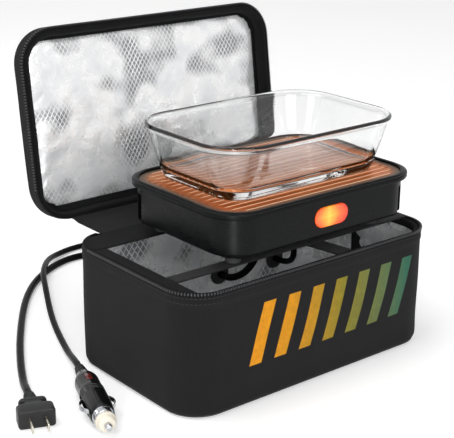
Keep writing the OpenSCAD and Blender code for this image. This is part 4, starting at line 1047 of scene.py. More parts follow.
def make_car_plug():
    relief = place(sleeve("car_relief", 3.9, 6, 18, 4, CAR_PLUG), CAR_PLUG_FRAME)
    dress(relief, "bag", "car_plug_plastic", "dc_strain_relief")
    body = revolve("car_plug", [(0, 18), (6.2, 18), (6.9, 18.4), (7.6, 21), (8.6, 24), (9.5, 26.5),
                                (10.2, 30), (10.4, 33), (10.4, 47.6), (10.55, 48.6), (10.95, 50.4),
                                (11, 51.4), (11, 53.9), (10.5, 54.1), (10.5, 54.8), (11, 55), (11, 56.9),
                                (10.5, 57.1), (10.5, 57.8), (11, 58), (11, 59.9), (10.5, 60.1),
                                (10.5, 60.8), (11, 61), (11, 74), (10.85, 78), (10.4, 86), (10, 88.6),
                                (9.6, 89.7), (9.2, 90), (3.6, 90), (3.6, 36), (0, 36)], CAR_PLUG, 64)
    cutters = [block(-12.4, -3.1, 31.8, -9, 3.1, 44.2)]
    cutters += [block(-2.8, 1 if side > 0 else -12.4, 55, 2.8, 12.4 if side > 0 else -1, 85)
                for side in (-1, 1)]
    body = sharpen(carved(body, *cutters), 32)
    place(body, CAR_PLUG_FRAME)
    dress(body, "bag", "car_plug_plastic", "car_plug_body")
    light = place(block(-10.25, -2.85, 32.15, -8.9, 2.85, 43.85, LIGHT_LENS, 0.5, "car_light"),
                  CAR_PLUG_FRAME)
    dress(sharpen(light), "bag", "light_lens", "car_plug_light")
    collar = revolve("car_collar", [(6, 90.1), (8.6, 90.1), (9, 90.5), (9, 92), (8.85, 92.2), (9, 92.4),
                                    (9, 98.4), (8.7, 98.9), (6, 98.9)], BRIGHT, 64)
    slits = []
    for k in range(4):
        slit = block(7.9, -1.2, 92.4, 11, 1.2, 100)
        slits.append(place(slit, spun(45 + 90 * k, "Z")))
    collar = place(sharpen(carved(collar, *slits)), CAR_PLUG_FRAME)
    dress(collar, "bag", "bright_metal", "car_plug_collar")
    nose = revolve("car_nose", [(3.45, 99), (8.2, 99), (8.5, 99.3), (8.5, 101.2), (8.1, 101.6),
                                (7.5, 102.4), (7.3, 104), (6.7, 105.6), (6, 106.7), (5.3, 107),
                                (3.45, 107)], NOSE, 60)
    nose = place(sharpen(nose), CAR_PLUG_FRAME)
    dress(nose, "bag", "nose_plastic", "car_plug_nose")
    tip = revolve("car_tip", [(0, 96), (4.3, 96), (4.4, 96.2), (4.4, 98.2), (4.2, 98.4), (3, 98.4),
                              (3, 111), (2.7, 112), (2.1, 112.7), (1.2, 113), (0, 113)], BRIGHT, 40)
    dress(place(sharpen(tip), CAR_PLUG_FRAME), "tip", "bright_metal", "car_plug_tip")
    turns, per_turn, radius, wire, reach = 9, 20, 2.6, 0.8, 28.6
    start = 66.3 + wire / 2
    points = []
    for k in range(turns * per_turn + 1):
        t = k * math.tau / per_turn
        points.append((radius * math.cos(t), radius * math.sin(t), start + reach * k / (turns * per_turn)))
    spring = place(sweep("car_spring", np.array(points) * MM, mm(wire) / 2, STEEL, 8), CAR_PLUG_FRAME)
    dress(spring, "bag", "spring_steel", "car_plug_spring")
    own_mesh(spring)
    return [relief, body, light, collar, nose, tip, spring]


def side_contact(name, side, body_name, node):
    """A bowed leaf of spring metal at the plug's side."""
    mid, chord, low, top = 70, 26.0, 7.0, 15.0
    centre, across, lift = [], [], []
    for k in range(21):
        t = -1 + 2 * k / 20
        rise = low + (top - low) * (1 - t * t) - 0.35
        slope = -2 * t * (top - low) / (chord / 2)
        n = Vector((0, side, -slope)).normalized()
        centre.append((0, side * rise * MM, (mid + t * chord / 2) * MM))
        across.append((1, 0, 0))
        lift.append(tuple(n))
    leaf = ribbon(name, centre, across, lift, mm(4), mm(0.7), BRIGHT)
    place(leaf, CAR_PLUG_FRAME)
    return dress(leaf, body_name, "bright_metal", node)


ac_plug_pieces = make_ac_plug()
car_plug_pieces = make_car_plug()
car_plug_pieces.append(side_contact("car_contact_a", 1, "contact_left", "car_contact_left"))
car_plug_pieces.append(side_contact("car_contact_b", -1, "contact_right", "car_contact_right"))


def make_ports():
    """The two moulded ports in the back wall, with a ribbed sleeve for each cord."""
    made = []
    for x, d in ((PORT_AC_X, AC_D), (PORT_DC_X, DC_D)):
        out = [(0.5 * d + 0.05, 0), (10, 0), (10.4, 0.25), (10.5, 0.7), (10.4, 1.25), (10, 1.35),
               (6.85, 1.4), (6.85, 7.5), (10.2, 7.6), (10.5, 7.9), (10.5, 8.6), (10.2, 9),
               (0.5 * d + 2.8, 9.05)]
        grooves = 5
        for k in range(grooves):
            base = d / 2 + 2.4 - 1.6 * (k + 0.5) / grooves
            z = 10 + k * 3.8
            out += [(base, z), (base, z + 2), (base - 0.7, z + 2.2), (base - 0.7, z + 3.4)]
        out += [(d / 2 + 0.7, 28.6), (d / 2 + 0.4, 29.15), (d / 2 + 0.02, 29.15)]
        port = revolve("port", out, RUBBER, 48)
        place(port, slid(x, 78.35, PORT_Z) @ spun(-90, "X"))
        made.append(sharpen(port))
    return dress(merged("cord_port_pair", made), "bag", "port_rubber", "cord_ports")


make_ports()

# ---- The bag ----

SPOTS, OUTS, RUN = outline(BAG_L, BAG_W, BAG_R)
AROUND = len(SPOTS)


def slack(x, y, z):
    """How far the cover stands out of its straight wall, in millimetres: a soft belly and a few wide
    creases."""
    rise = clamped(z / 107)
    belly = math.sin(math.pi * rise) ** 0.8 if 0 < rise < 1 else 0
    middle_x = max(0.0, 1 - (x / 118) ** 2)
    middle_y = max(0.0, 1 - (y / 68) ** 2)
    face = middle_x if abs(y) > 80 else middle_y if abs(x) > 134 else 0.12
    wide = drift(x * 0.011, y * 0.011, z * 0.022) * 0.9
    crease = drift(x * 0.03 + 9, y * 0.03, z * 0.016) * 0.5
    low = math.exp(-((z - 9) / 7) ** 2) * drift(x * 0.06, y * 0.06, 2.5) * 0.8
    return belly * (2.2 * face + 0.3) + (wide + crease) * belly + low


def make_bag_shell():
    floor_part = [(84, 0.3), (70, 0.2), (50, 0), (30, 0), (14, 0)]
    turn = fillet(7, 0, 0, 6.5, 6, -1)
    walls = [(0, 6.5 + (98.2 - 6.5) * k / 26) for k in range(1, 27)]
    tape = [(-0.35, 98.6), (-0.5, 99.2), (-0.5, 103), (-0.45, 106.4), (-0.1, 106.9), (0.5, 107), (1.6, 107)]
    back_in = [(1.6, 102), (4.95, 102), (4.95, 60), (4.95, 14), (6, 9), (9, 7.6), (30, 7.6), (60, 7.6),
               (84, 7.6)]
    profile = floor_part + turn + walls + tape + back_in
    rings = tray_rings(profile)
    last_wall = len(floor_part) + len(turn) + len(walls) + len(tape) - 2
    for i, (d, z) in enumerate(profile[:last_wall]):
        if d > 10:
            continue
        for j in range(AROUND):
            push = slack(rings[i, j, 0] * 1000, rings[i, j, 1] * 1000, z) * (1 if d < 1 else 0.4)
            rings[i, j, :2] += OUTS[j] * push * MM
    shell = loft("bag_shell", rings, PRINTED_CLOTH, RUN * MM)
    carved(shell, *[drill(6.95, -2, 12, slid(x, 78, PORT_Z) @ spun(-90, "X"), 32)
                    for x in (PORT_AC_X, PORT_DC_X)])
    return dress(sharpen(shell, 50), "bag", "woven_cover", "bag_cover", "wall_foam")


def make_lining():
    """Quilted foil inside the bag: crumpled walls and floor with a closed back."""
    walls = [(6, 101.8 - (101.8 - 15) * k / 30) for k in range(31)]
    turn = fillet(6, 15, 12, 8.6, 5, 1)[1:]
    floor_part = [(12 + 6 * k, 8.6) for k in range(1, 13)]
    inner = walls + turn + floor_part
    outer = [(5.05, z) for z in (101.8, 80, 50, 15)]
    outer += [(6.2, 10), (9.2, 7.8), (30, 7.7), (60, 7.7), (84, 7.7)]
    rings = tray_rings(inner[::-1] + outer)
    for i, (d, z) in enumerate(inner[::-1]):
        for j in range(AROUND):
            x, y = rings[i, j, 0] * 1000, rings[i, j, 1] * 1000
            crumple = billow(x * 0.03, y * 0.03, z * 0.035) * 2.6
            crumple += billow(x * 0.09, y * 0.09, z * 0.09, 2) * 0.7
            if z > 12 and d <= 6.01:
                edge = drift(x * 0.14, y * 0.14, 4) * 0.9 if z > 98 else 0
                if -98 < x < 134:
                    crumple *= 0.22 if y > 70 else 0.62 if y < -70 else 1
                rings[i, j, :2] -= OUTS[j] * crumple * MM
                rings[i, j, 2] += edge * MM
            else:
                rings[i, j, 2] += (crumple * 0.5 - 0.9) * MM if d > 12 else 0
    for hole_x in (PORT_AC_X, PORT_DC_X):
        for i in range(len(rings)):
            near = np.hypot(rings[i, :, 0] * 1000 - hole_x, rings[i, :, 2] * 1000 - PORT_Z) < 14
            back = rings[i, :, 1] > 0.074
            rings[i, near & back, 1] = np.maximum(rings[i, near & back, 1], 0.0801)
    lining = loft("bag_lining", rings, LINING, RUN * MM)
    subdivided(lining)
    return dress(lining, "bag", "foil", "foil_liner")


def make_binding():
    """Folded tape over the top of the wall, slightly uneven."""
    profile = [(1.6, 102.2), (1.55, 104.5), (1.6, 106.6), (2.0, 107.8), (2.9, 108.3), (4.2, 108.35),
               (5.3, 108), (6.1, 107), (6.35, 105.4), (6.3, 103.4), (6.15, 101.2), (5.6, 100.9),
               (5.05, 101.2), (4.9, 102.1)]
    rings = tray_rings(profile)
    for i, (d, z) in enumerate(profile):
        for j in range(AROUND):
            x, y = rings[i, j, :2] * 1000
            push = drift(x * 0.05, y * 0.05, z * 0.02) * 0.5 + drift(x * 0.16, y * 0.16, 3) * 0.2
            if d > 5:
                rings[i, j, :2] -= OUTS[j] * push * MM
                rings[i, j, 2] += min(push, 0.2) * MM * (0 if z > 106 else 1)
    binding = subdivided(loft("rim_tape", rings, BINDING, RUN * MM, caps=False, closed_rings=True))
    return dress(binding, "bag", "binding_tape", "rim_binding")


def rim_path(inset, z, open_back=True):
    """The rim's outline from the back left round the front to the back right, in metres."""
    spots, _, _ = outline(BAG_L - 2 * inset, BAG_W - 2 * inset, BAG_R - inset, corner_n=24)
    keep = [k for k in range(len(spots)) if not (spots[k][1] > BAG_W / 2 - BAG_R + 1 and open_back)]
    chain = keep if keep[0] < keep[-1] else keep[::-1]
    return [(spots[k][0] * MM, spots[k][1] * MM, z * MM) for k in chain]


def tape_band(name, low, high):
    """The zip's tape: a thin upright band with a rounded edge."""
    thick = 1.45
    profile = [(0, low), (0, low + 0.4), (0, high - 0.5), (0.15, high - 0.12), (0.5, high),
               (thick - 0.4, high), (thick, high - 0.3), (thick, low + 0.4), (thick, low)]
    return loft(name, tray_rings(profile), BINDING, RUN * MM, caps=False, closed_rings=True)


stitch = stitch_part()
tooth = tooth_part()


def make_bag_zip():
    """Tape and teeth on the bag's rim. The tape dips at the back, under the fabric hinge."""
    tape = tape_band("tape", TAPE_Z, BAG_H)
    for vertex in tape.data.vertices:
        if vertex.co.y > 0.0835 and abs(vertex.co.x) < 0.1085:
            vertex.co.z = min(vertex.co.z, mm(FACING_Z - 0.05))
    teeth = repeat_along("teeth", [rim_path(-0.1, BAG_H - 1.15)], tooth, 2.6, ZIP_PLASTIC)
    return dress(sharpen(merged("bag_zip", [tape, teeth]), 40), "bag", "zip_plastic", "bag_zip_row")


def make_bag_seams():
    """Two rows of stitches under the zip."""
    rows = [rim_path(-0.62, z, False) for z in (105.2, 100.4)]
    seams = repeat_along("bag_stitches", [row + row[:1] for row in rows], stitch, 3.6, THREAD)
    return dress(seams, "bag", "woven_cover")


make_bag_shell()
make_lining()
make_binding()
make_bag_zip()
make_bag_seams()


def strap_line(name, points, width, finish_used, lift=(0, 0, 1), thick=1.55):
    """A straight or bent strap through points, its face towards lift."""
    points = np.array(points, float) * MM
    ahead = np.gradient(points, axis=0)
    ahead /= np.linalg.norm(ahead, axis=1)[:, None]
    lift = np.tile(np.array(lift, float), (len(points), 1))
    lift = lift - ahead * (ahead * lift).sum(1)[:, None]
    lift /= np.linalg.norm(lift, axis=1)[:, None]
    across = np.cross(ahead, lift)
    return ribbon(name, points, across, lift, mm(width), mm(thick), finish_used)


def line_points(a, b, n):
    """Points from a to b in n equal steps."""
    a, b = np.array(a, float), np.array(b, float)
    return [a + (b - a) * (k / n) for k in range(n + 1)]


def make_straps():
    """Webbing across the mouth, and a strap on the right wall."""
    start, middle, end, y = -125.5, 19, 138.2, -44
    top, low = BAG_H - 0.8, FACING_Z - 0.8
    for side, x0, x1, fixed, n in (("left", start, middle, start, 30), ("right", middle, end, end, 26)):
        half = strap_line("long_strap_" + side, line_points((x0, y, top), (x1, y, top), n), 14, WEBBING)
        dress(half, "bag", "webbing", "long_strap")
        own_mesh(half)
    lean = math.tan(math.radians(9))
    ends = [(middle - lean * y, y, low) for y in (-80, 58)]
    cross = strap_line("cross_strap_web", line_points(*ends, 28), 18, WEBBING)
    dress(cross, "bag", "webbing", "cross_strap")
    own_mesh(cross)
    wall = strap_line("wall_strap_web", line_points((133.2, 3, 34), (133.2, 3, 107.9), 18), 17.6, WEBBING,
                      (-1, 0, 0), 1.5)
    dress(wall, "bag", "webbing", "wall_strap")


make_straps()


def flat_patch(name, x0, x1, y0, y1, z, thick, finish_used, corners=None, n=(40, 16), wave=0.15):
    """A thin cloth sheet over a grid, trimmed to the rim's corners where corners is an inset, with
    rounded edges."""
    def spot(x, y):
        if corners is None:
            return x, y
        r = BAG_R - corners
        cx, cy = BAG_L / 2 - BAG_R, BAG_W / 2 - BAG_R
        if abs(x) > cx and abs(y) > cy:
            dx, dy = abs(x) - cx, abs(y) - cy
            far = math.hypot(dx, dy)
            if far > r:
                dx, dy = dx * r / far, dy * r / far
            return math.copysign(cx + dx, x), math.copysign(cy + dy, y)
        return x, y

    points, faces, uv = [], [], []
    nx, ny = n
    for layer in (0, 1):
        for i in range(nx + 1):
            for j in range(ny + 1):
                x, y = spot(x0 + (x1 - x0) * i / nx, y0 + (y1 - y0) * j / ny)
                edge = min(i, nx - i, j, ny - j)
                lift = thick / 2 * (0.35 if edge == 0 else 1)
                ripple = wave * drift(x * 0.05, y * 0.05, 2)
                points.append((x * MM, y * MM, (z + (lift if layer else -lift) + ripple * (edge > 0)) * MM))
    stride = (nx + 1) * (ny + 1)

    def at(layer, i, j):
        return layer * stride + i * (ny + 1) + j

    def add(*corner_list):
        faces.append(corner_list)
        uv.extend((points[c][0], points[c][1]) for c in corner_list)

    for i in range(nx):
        for j in range(ny):
            add(at(1, i, j), at(1, i + 1, j), at(1, i + 1, j + 1), at(1, i, j + 1))
            add(at(0, i, j), at(0, i, j + 1), at(0, i + 1, j + 1), at(0, i + 1, j))
    for i in range(nx):
        add(at(0, i, 0), at(0, i + 1, 0), at(1, i + 1, 0), at(1, i, 0))
        add(at(0, i, ny), at(1, i, ny), at(1, i + 1, ny), at(0, i + 1, ny))
    for j in range(ny):
        add(at(0, 0, j), at(1, 0, j), at(1, 0, j + 1), at(0, 0, j + 1))
        add(at(0, nx, j), at(0, nx, j + 1), at(1, nx, j + 1), at(1, nx, j))
    return build(name, points, faces, finish_used, uv)


def make_facings():
    left = flat_patch("left_facing_cloth", -138.2, -125.5, -84.2, 48, 109.2, 1.5, FACING, 1.65, (8, 44))
    dress(left, "bag", "binding_tape", "left_facing")
    back = flat_patch("back_facing_cloth", -138.2, 138.2, 48, 79.9, 109.2, 1.5, FACING, 1.65, (80, 14))
    dress(back, "bag", "binding_tape", "back_facing")
    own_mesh(back)


make_facings()


def make_hinge_flap():
    """The fabric band that joins bag and lid. Its lid side rises by 1.5 mm."""
    flap = flat_patch("hinge_band", -108, 108, 80.2, 131, 109.1, 1.2, COVER_CLOTH, None, (60, 24), 0.3)
    for vertex in flap.data.vertices:
        t = clamped((vertex.co.y * 1000 - 118) / 10)
        vertex.co.z += mm(1.5) * t * t * (3 - 2 * t)
    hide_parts("hinge_flap")
    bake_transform(flap)


make_hinge_flap()

# ---- The lid, drawn shut and then swung open ----


def make_lid_cover():
    top_part = [(84, LID_TOP - 0.2), (60, LID_TOP + 0.2), (30, LID_TOP + 0.3), (14, LID_TOP + 0.1)]
    turn = fillet(7, LID_TOP, 0, LID_TOP - 6, 6, -1)
    band = [(0, 122), (0, 119), (0, 116), (-0.3, 115.4), (-0.3, 113.9), (0.2, 113.45), (1.4, 113.4)]
    inner = [(3.45, 113.4), (3.45, 120), (3.45, 124.3), (5, 125), (30, 125), (60, 125), (84, 125)]
    profile = top_part + turn + band + inner
    rings = tray_rings(profile)
    for i, (d, z) in enumerate(profile):
        for j in range(AROUND):
            x, y = rings[i, j, :2] * 1000
            if d < 8 and z > 113.5 and i < len(top_part) + len(turn) + len(band) - 2:
                push = drift(x * 0.02, y * 0.02, z * 0.04) * 0.8
                rings[i, j, :2] += OUTS[j] * push * MM
            elif i < len(top_part):
                rings[i, j, 2] += drift(x * 0.015, y * 0.015, 5) * 0.0008
    cover = subdivided(loft("lid_shell", rings, COVER_CLOTH, RUN * MM))
    return dress(place(cover, OPENED), "lid", "woven_cover", "lid_cover", "lid_foam")


def make_lid_border():
    """The soft black roll round the lid's open side."""
    profile = [(1.6, 112.9), (1.5, 111.6), (2.0, 110.9), (3.2, 110.55), (4.8, 110.7), (6.4, 111.6),
               (7.7, 113.4), (8.2, 116), (8.1, 119), (7.6, 121.6), (6.2, 122.6), (4.2, 122.8), (3.5, 121),
               (3.5, 114.5)]
    rings = tray_rings(profile)
    for i, (d, z) in enumerate(profile):
        for j in range(AROUND):
            x, y = rings[i, j, :2] * 1000
            if d > 4.5:
                push = drift(x * 0.035, y * 0.035, z * 0.02)
                push += drift(x * 0.12, y * 0.12, z * 0.08) * 0.4
                if y > 60:
                    push = min(push, 0) - max(0, d - 6.1) - 0.3
                rings[i, j, :2] -= OUTS[j] * push * MM
    border = subdivided(loft("lid_border", rings, BINDING, RUN * MM, caps=False, closed_rings=True))
    return dress(place(border, OPENED), "lid", "binding_tape", "lid_binding")


def make_lid_pad():
    """Foil over foam in the lid. The pad is swelled as cloth, then gets its puckers."""
    low, high = 121.6, 124.8
    profile = [(84, low), (60, low), (40, low), (20, low), (12, low), (8.5, low + 0.3), (7.2, low + 1.2),
               (7.2, high - 0.6), (9, high), (30, high), (84, high)]
    pad = loft("lid_pad", tray_rings(profile), LID_FOIL, RUN * MM)
    voxel = pad.modifiers.new("even", "REMESH")
    voxel.mode, voxel.voxel_size = "VOXEL", mm(4)
    settled(pad)
    before = np.array([v.co for v in pad.data.vertices])
    cloth = pad.modifiers.new("swell", "CLOTH")
    cloth.settings.use_pressure = True
    cloth.settings.uniform_pressure_force = 4
    cloth.settings.effector_weights.gravity = 0
    cloth.settings.quality = 5
    scene = bpy.context.scene
    cloth.point_cache.frame_start, cloth.point_cache.frame_end = 1, 20
    for number in range(1, 21):
        scene.frame_set(number)
    settled(pad)
    scene.frame_set(1)
    after = np.array([v.co for v in pad.data.vertices])
    moved = after - before
    far = np.linalg.norm(moved, axis=1)
    moved *= np.minimum(1, mm(2.2) / np.maximum(far, 1e-9))[:, None]
    placed = before + moved
    for k, p in enumerate(placed):
        x, y, z = p * 1000
        if z < 123.2:
            edge = min(BAG_L / 2 - 8 - abs(x), BAG_W / 2 - 8 - abs(y))
            swirl = 2.5 * noise.noise(Vector((x, y, 0)) * 0.05)
            pucker = math.exp(-max(edge, 0) / 9) * math.sin((x + y) * 0.55 + swirl) * 0.8
            broad = drift(x * 0.016, y * 0.016, 8) * 1.3 + (billow(x * 0.03, y * 0.03, 3, 2) - 0.3) * 1.2
            placed[k][2] = max(min(z + pucker + broad, 123.0), 118.6) * MM
        placed[k][2] = min(placed[k][2], mm(124.9))
    pad.data.vertices.foreach_set("co", placed.ravel())
    subdivided(pad)
    pad.data.shade_smooth()
    pad.data.materials.clear()
    pad.data.materials.append(LID_FOIL)
    return dress(place(pad, OPENED), "lid", "foil", "lid_liner")


def make_lid_zip():
    tape = tape_band("tape", 110.45, 113.35)
    teeth = repeat_along("teeth", [rim_path(-0.1, LID_Z + 1.15)], tooth, 2.6, ZIP_PLASTIC)
    row = sharpen(merged("lid_zip", [tape, teeth]), 40)
    return dress(place(row, OPENED), "lid", "zip_plastic", "lid_zip_row")


def make_handle():
    """A webbing handle: two sewn ends and a low arch."""
    points = []
    for k in range(61):
        x = -75 + 150 * k / 60
        t = clamped((49 - abs(x)) / 17)
        lift = t * t * (3 - 2 * t)
        points.append((x, 0, LID_TOP + 1.15 + 19.9 * lift - 0.3 * drift(x * 0.06, 0, 0)))
    strap = strap_line("handle_web", points, 26, WEBBING)
    boxes = []
    for side in (-1, 1):
        around = ((73.2, -11), (53, -11), (53, 11), (73.2, 11))
        corners = [mm(side * x, y, LID_TOP + 2.05) for x, y in around]
        boxes += [corners + corners[:1], corners[::2], corners[3:] + corners[1:2]]
    sewn = repeat_along("sewn", boxes, stitch, 3.0, THREAD)
    handle = merged("handle", [strap, sewn])
    return dress(place(handle, OPENED), "lid", "webbing", "carry_handle")


make_lid_cover()
make_lid_border()
make_lid_pad()
make_lid_zip()
make_handle()

# ---- The heating base ----


def at_base(profile, l, w, r, **counts):
    return tray_rings(profile, l=l, w=w, r=r, centre=(BASE_X, BASE_Y), **counts)


def make_body():
    """The moulded housing: outside with softened edges, inside with its ledge and bosses, open slots at
    two corners."""
    outer = [(3.2, 123.35), (1.6, 123.45), (0.6, 124.0), (0.15, 125), (0, 126.5), (0, 134), (0, 142),
             (0, 150), (0, 156.2)]
    inner = [(2.5, 156.2), (2.5, 151.4), (7.5, 151.3), (7.5, 149.4), (2.5, 149.3), (2.5, 136), (2.5, 125.5),
             (3.2, 123.35)]
    body = loft("base_housing", at_base(outer + inner[:-1], BODY_L, BODY_W, BODY_R, corner_n=20), HOUSING,
                caps=False, closed_rings=True)
    x0 = BASE_X - BODY_L / 2
    left = block(x0 - 2, 50, 122, x0 + 14, 58, 149.3, None, 0.8)
    right = block(106, FRONT_Y - 2, 122, 114, FRONT_Y + 14, 149.3, None, 0.8)
    window = section_loft("window", [(0, 18, 38, 8.99), (6, 18, 38, 8.99)], None)
    place(window, slid(LENS_X, FRONT_Y - 1, LENS_Z) @ spun(-90, "X") @ spun(90, "Z"))
    carved(body, left, right, window)
    posts = []
    for sx in (-1, 1):
        for sy in (-1, 1):
            post = revolve("post", [(1.7, 126), (4.5, 126), (4.5, 149.3), (1.7, 149.3)], HOUSING, 24)
            posts.append(place(post, slid(BASE_X + sx * 81.5, BASE_Y + sy * 53.5, 0)))
    return dress(sharpen(merged("base_housing", [body] + posts), 32), "heating_base", "housing",
                 "heater_body")


def make_lip():
    """The two-step lip: outer band, flat step and raised inner bead."""
    profile = [(8.4, 156.35), (5, 156.3), (1.2, 156.3), (0.35, 156.6), (0, 157.3), (0, 160.2),
               (0.3, 160.95), (1.0, 161.25), (2.1, 161.3), (2.35, 161.5), (2.6, 162.0), (3.3, 162.3),
               (4.6, 162.3), (5.5, 162.1), (5.95, 161.6), (6, 160.8), (6, 157.9), (6.4, 157.75),
               (8.4, 157.7)]
    lip = loft("base_lip", at_base(profile, LIP_L, LIP_W, LIP_R, corner_n=24), LIP, caps=False,
               closed_rings=True)
    return dress(sharpen(lip, 38), "heating_base", "lip_plastic", "heater_lip")


def make_plate():
    """The ribbed plate. Its margin is marked so that the finish can dull it."""
    profile = [(0, 157.85), (0, 159.9), (0.25, 160.2), (0.7, PLATE_TOP)]
    profile += [(d, PLATE_TOP) for d in (3, 7, 9, 20, 40, 70)]
    plate = loft("plate", at_base(profile, PLATE_L, PLATE_W, PLATE_R, corner_n=20), PLATE)
    lines = []
    pitch, margin = 8.0, 7
    half_l, half_w, radius = PLATE_L / 2 - margin, PLATE_W / 2 - margin, PLATE_R - margin
    for k in range(-8, 9):
        y = k * pitch
        if abs(y) > half_w - 0.5:
            continue
        reach = half_l
        if abs(y) > half_w - radius:
            reach = half_l - radius + math.sqrt(max(radius**2 - (abs(y) - half_w + radius) ** 2, 0))
        lines.append((y, reach))
    ribs = make_ribs(lines)
    whole = merged("heating_plate_ribbed", [plate, ribs])
    marks = whole.data.attributes.new("margin", "FLOAT", "POINT")
    values = []
    for vertex in whole.data.vertices:
        x, y = abs(vertex.co.x * 1000 - BASE_X), abs(vertex.co.y * 1000 - BASE_Y)
        dx, dy = x - (PLATE_L / 2 - PLATE_R), y - (PLATE_W / 2 - PLATE_R)
        inside = PLATE_R - math.hypot(max(dx, 0), max(dy, 0)) if dx > 0 or dy > 0 else 50
        values.append(clamped(1 - (inside - 5.5) / 4))
    marks.data.foreach_set("value", values)
    return dress(sharpen(whole, 40), "heating_base", "copper_plate", "heating_plate")


def rib_tree():
    """A tree of a rounded rib along each of the input's edges."""
    tree, ids = shape_tree("plate_ribs", ("Half width", "Float"), ("Height", "Float"),
                           ("Finish", "Material"))
    new = tree.nodes.new
    start, curve = new("NodeGroupInput"), new("GeometryNodeMeshToCurve")
    body, size = new("GeometryNodeCurveToMesh"), new("ShaderNodeCombineXYZ")
    circle, squeezed = new("GeometryNodeCurvePrimitiveCircle"), new("GeometryNodeTransform")
    circle.inputs["Resolution"].default_value = 16
    circle.inputs["Radius"].default_value = 1.0
    size.inputs["Z"].default_value = 1.0
    body.inputs["Fill Caps"].default_value = True
    wire(tree, (start, "Geometry", curve, "Mesh"), (circle, "Curve", squeezed, "Geometry"),
         (start, "Half width", size, "X"), (start, "Height", size, "Y"),
         (size, "Vector", squeezed, "Scale"), (curve, "Curve", body, "Curve"),
         (squeezed, "Geometry", body, "Profile Curve"))
    end_tree(tree, start, body, "Mesh")
    return tree, ids


def make_ribs(lines):
    """Ribs along X, one for each (place across, half length)."""
    tree, ids = rib_tree()
    along = np.linspace(-1, 1, 12)
    paths = [[mm(BASE_X + t * reach, BASE_Y + y, PLATE_TOP) for t in along] for y, reach in lines]
    host = grown(line_host("ribs", paths), tree, ids, Half_width=mm(0.9), Height=mm(0.58), Finish=PLATE)
    host.data.shade_smooth()
    return host


def make_lens():
    """The oval lens in the front wall, domed and standing out a little."""
    sections = [(0, 14, 44, 6.99), (1.5, 14, 44, 6.99), (1.6, 17.7, 37.7, 8.84), (4.9, 17.7, 37.7, 8.84),
                (5.25, 17.2, 37.2, 8.6), (5.45, 16.2, 36.2, 8.1), (5.55, 13, 33, 6.5), (5.6, 8, 28, 4),
                (5.62, 3, 23, 1.5)]
    lens = section_loft("lens", sections, LENS)
    place(lens, slid(LENS_X, FRONT_Y + 4.1, LENS_Z) @ spun(90, "X") @ spun(90, "Z"))
    return dress(lens, "heating_base", "lens_plastic", "indicator_lens")


def make_mat():
    """The fibre mat under the element."""
    profile = [(70, 0.3), (30, 0.1), (5, 0.2), (1, 0.6), (0.2, 1.6), (0, 2.5), (0.2, 3.6), (1, 4.5),
               (5, 4.75), (30, 4.7), (70, 4.7)]
    rings = at_base([(d, 151.9 + z) for d, z in profile], 204.7, 138.7, 25.3)
    for ring in rings:
        for p in ring:
            p[2] += noise.noise(Vector(p) * 60) * 0.00012
    mat = loft("fibre_mat", rings, MAT_FIBRE)
    return dress(mat, "heating_base", "mat_fibre", "insulation_pad")


make_body()
make_lip()
make_plate()
make_lens()

# ---- The glass dish ----


def make_dish():
    """One smooth glass wall from the foot ring up to the rolled rim and down to the inside floor."""
    base_l, base_w, base_r = 176, 112, 25
    rim_l, rim_w, rim_r = 201, 137, 37.5

    def ring(t, out, z):
        """t runs from the foot (0) to the rim (1); out is the distance outwards."""
        l, w, r = (a + (b - a) * t for a, b in ((base_l, rim_l), (base_w, rim_w), (base_r, rim_r)))
        return ring_at(-out, DISH_Z + z, l=l, w=w, r=r, centre=(DISH_X, DISH_Y), long_n=40, short_n=28,
                       corner_n=20)

    outside = [(0, -50, 0.9), (0, -20, 0.9), (0, -7, 0.9), (0, -5.6, 0.7), (0, -4.9, 0.1), (0, -3.7, 0),
               (0, -2.8, 0.4), (0, -1.6, 1.6), (0.01, -0.5, 3), (0.04, 0, 5), (0.12, 0, 9), (0.3, 0, 16),
               (0.5, 0, 24), (0.7, 0, 32), (0.88, 0, 39.5), (0.95, 0, 43), (0.98, 0.25, 44.6),
               (1, 1.1, 45.6), (1, 2.1, 46.4), (1, 2.5, 47.6), (1, 2.3, 48.9), (1, 1.5, 49.8), (1, 0.3, 50),
               (1, -0.9, 49.6), (1, -1.9, 48.4)]
    inside = [(0.97, -2.9, 45.5), (0.9, -3.5, 40), (0.7, -3.7, 32), (0.5, -3.9, 24), (0.3, -4.1, 16),
              (0.17, -4.6, 11.5), (0.1, -5.6, 9), (0.05, -7.6, 7.4), (0.02, -10.5, 6.9), (0, -20, 6.8),
              (0, -50, 6.8)]
    rings = [ring(*row) for row in outside + inside]
    dish = subdivided(loft("dish", rings, GLASS))
    return dress(dish, "dish", "dish_glass", "glass_dish")


make_dish()
make_mat()

# ---- The zip's slider and pull ----


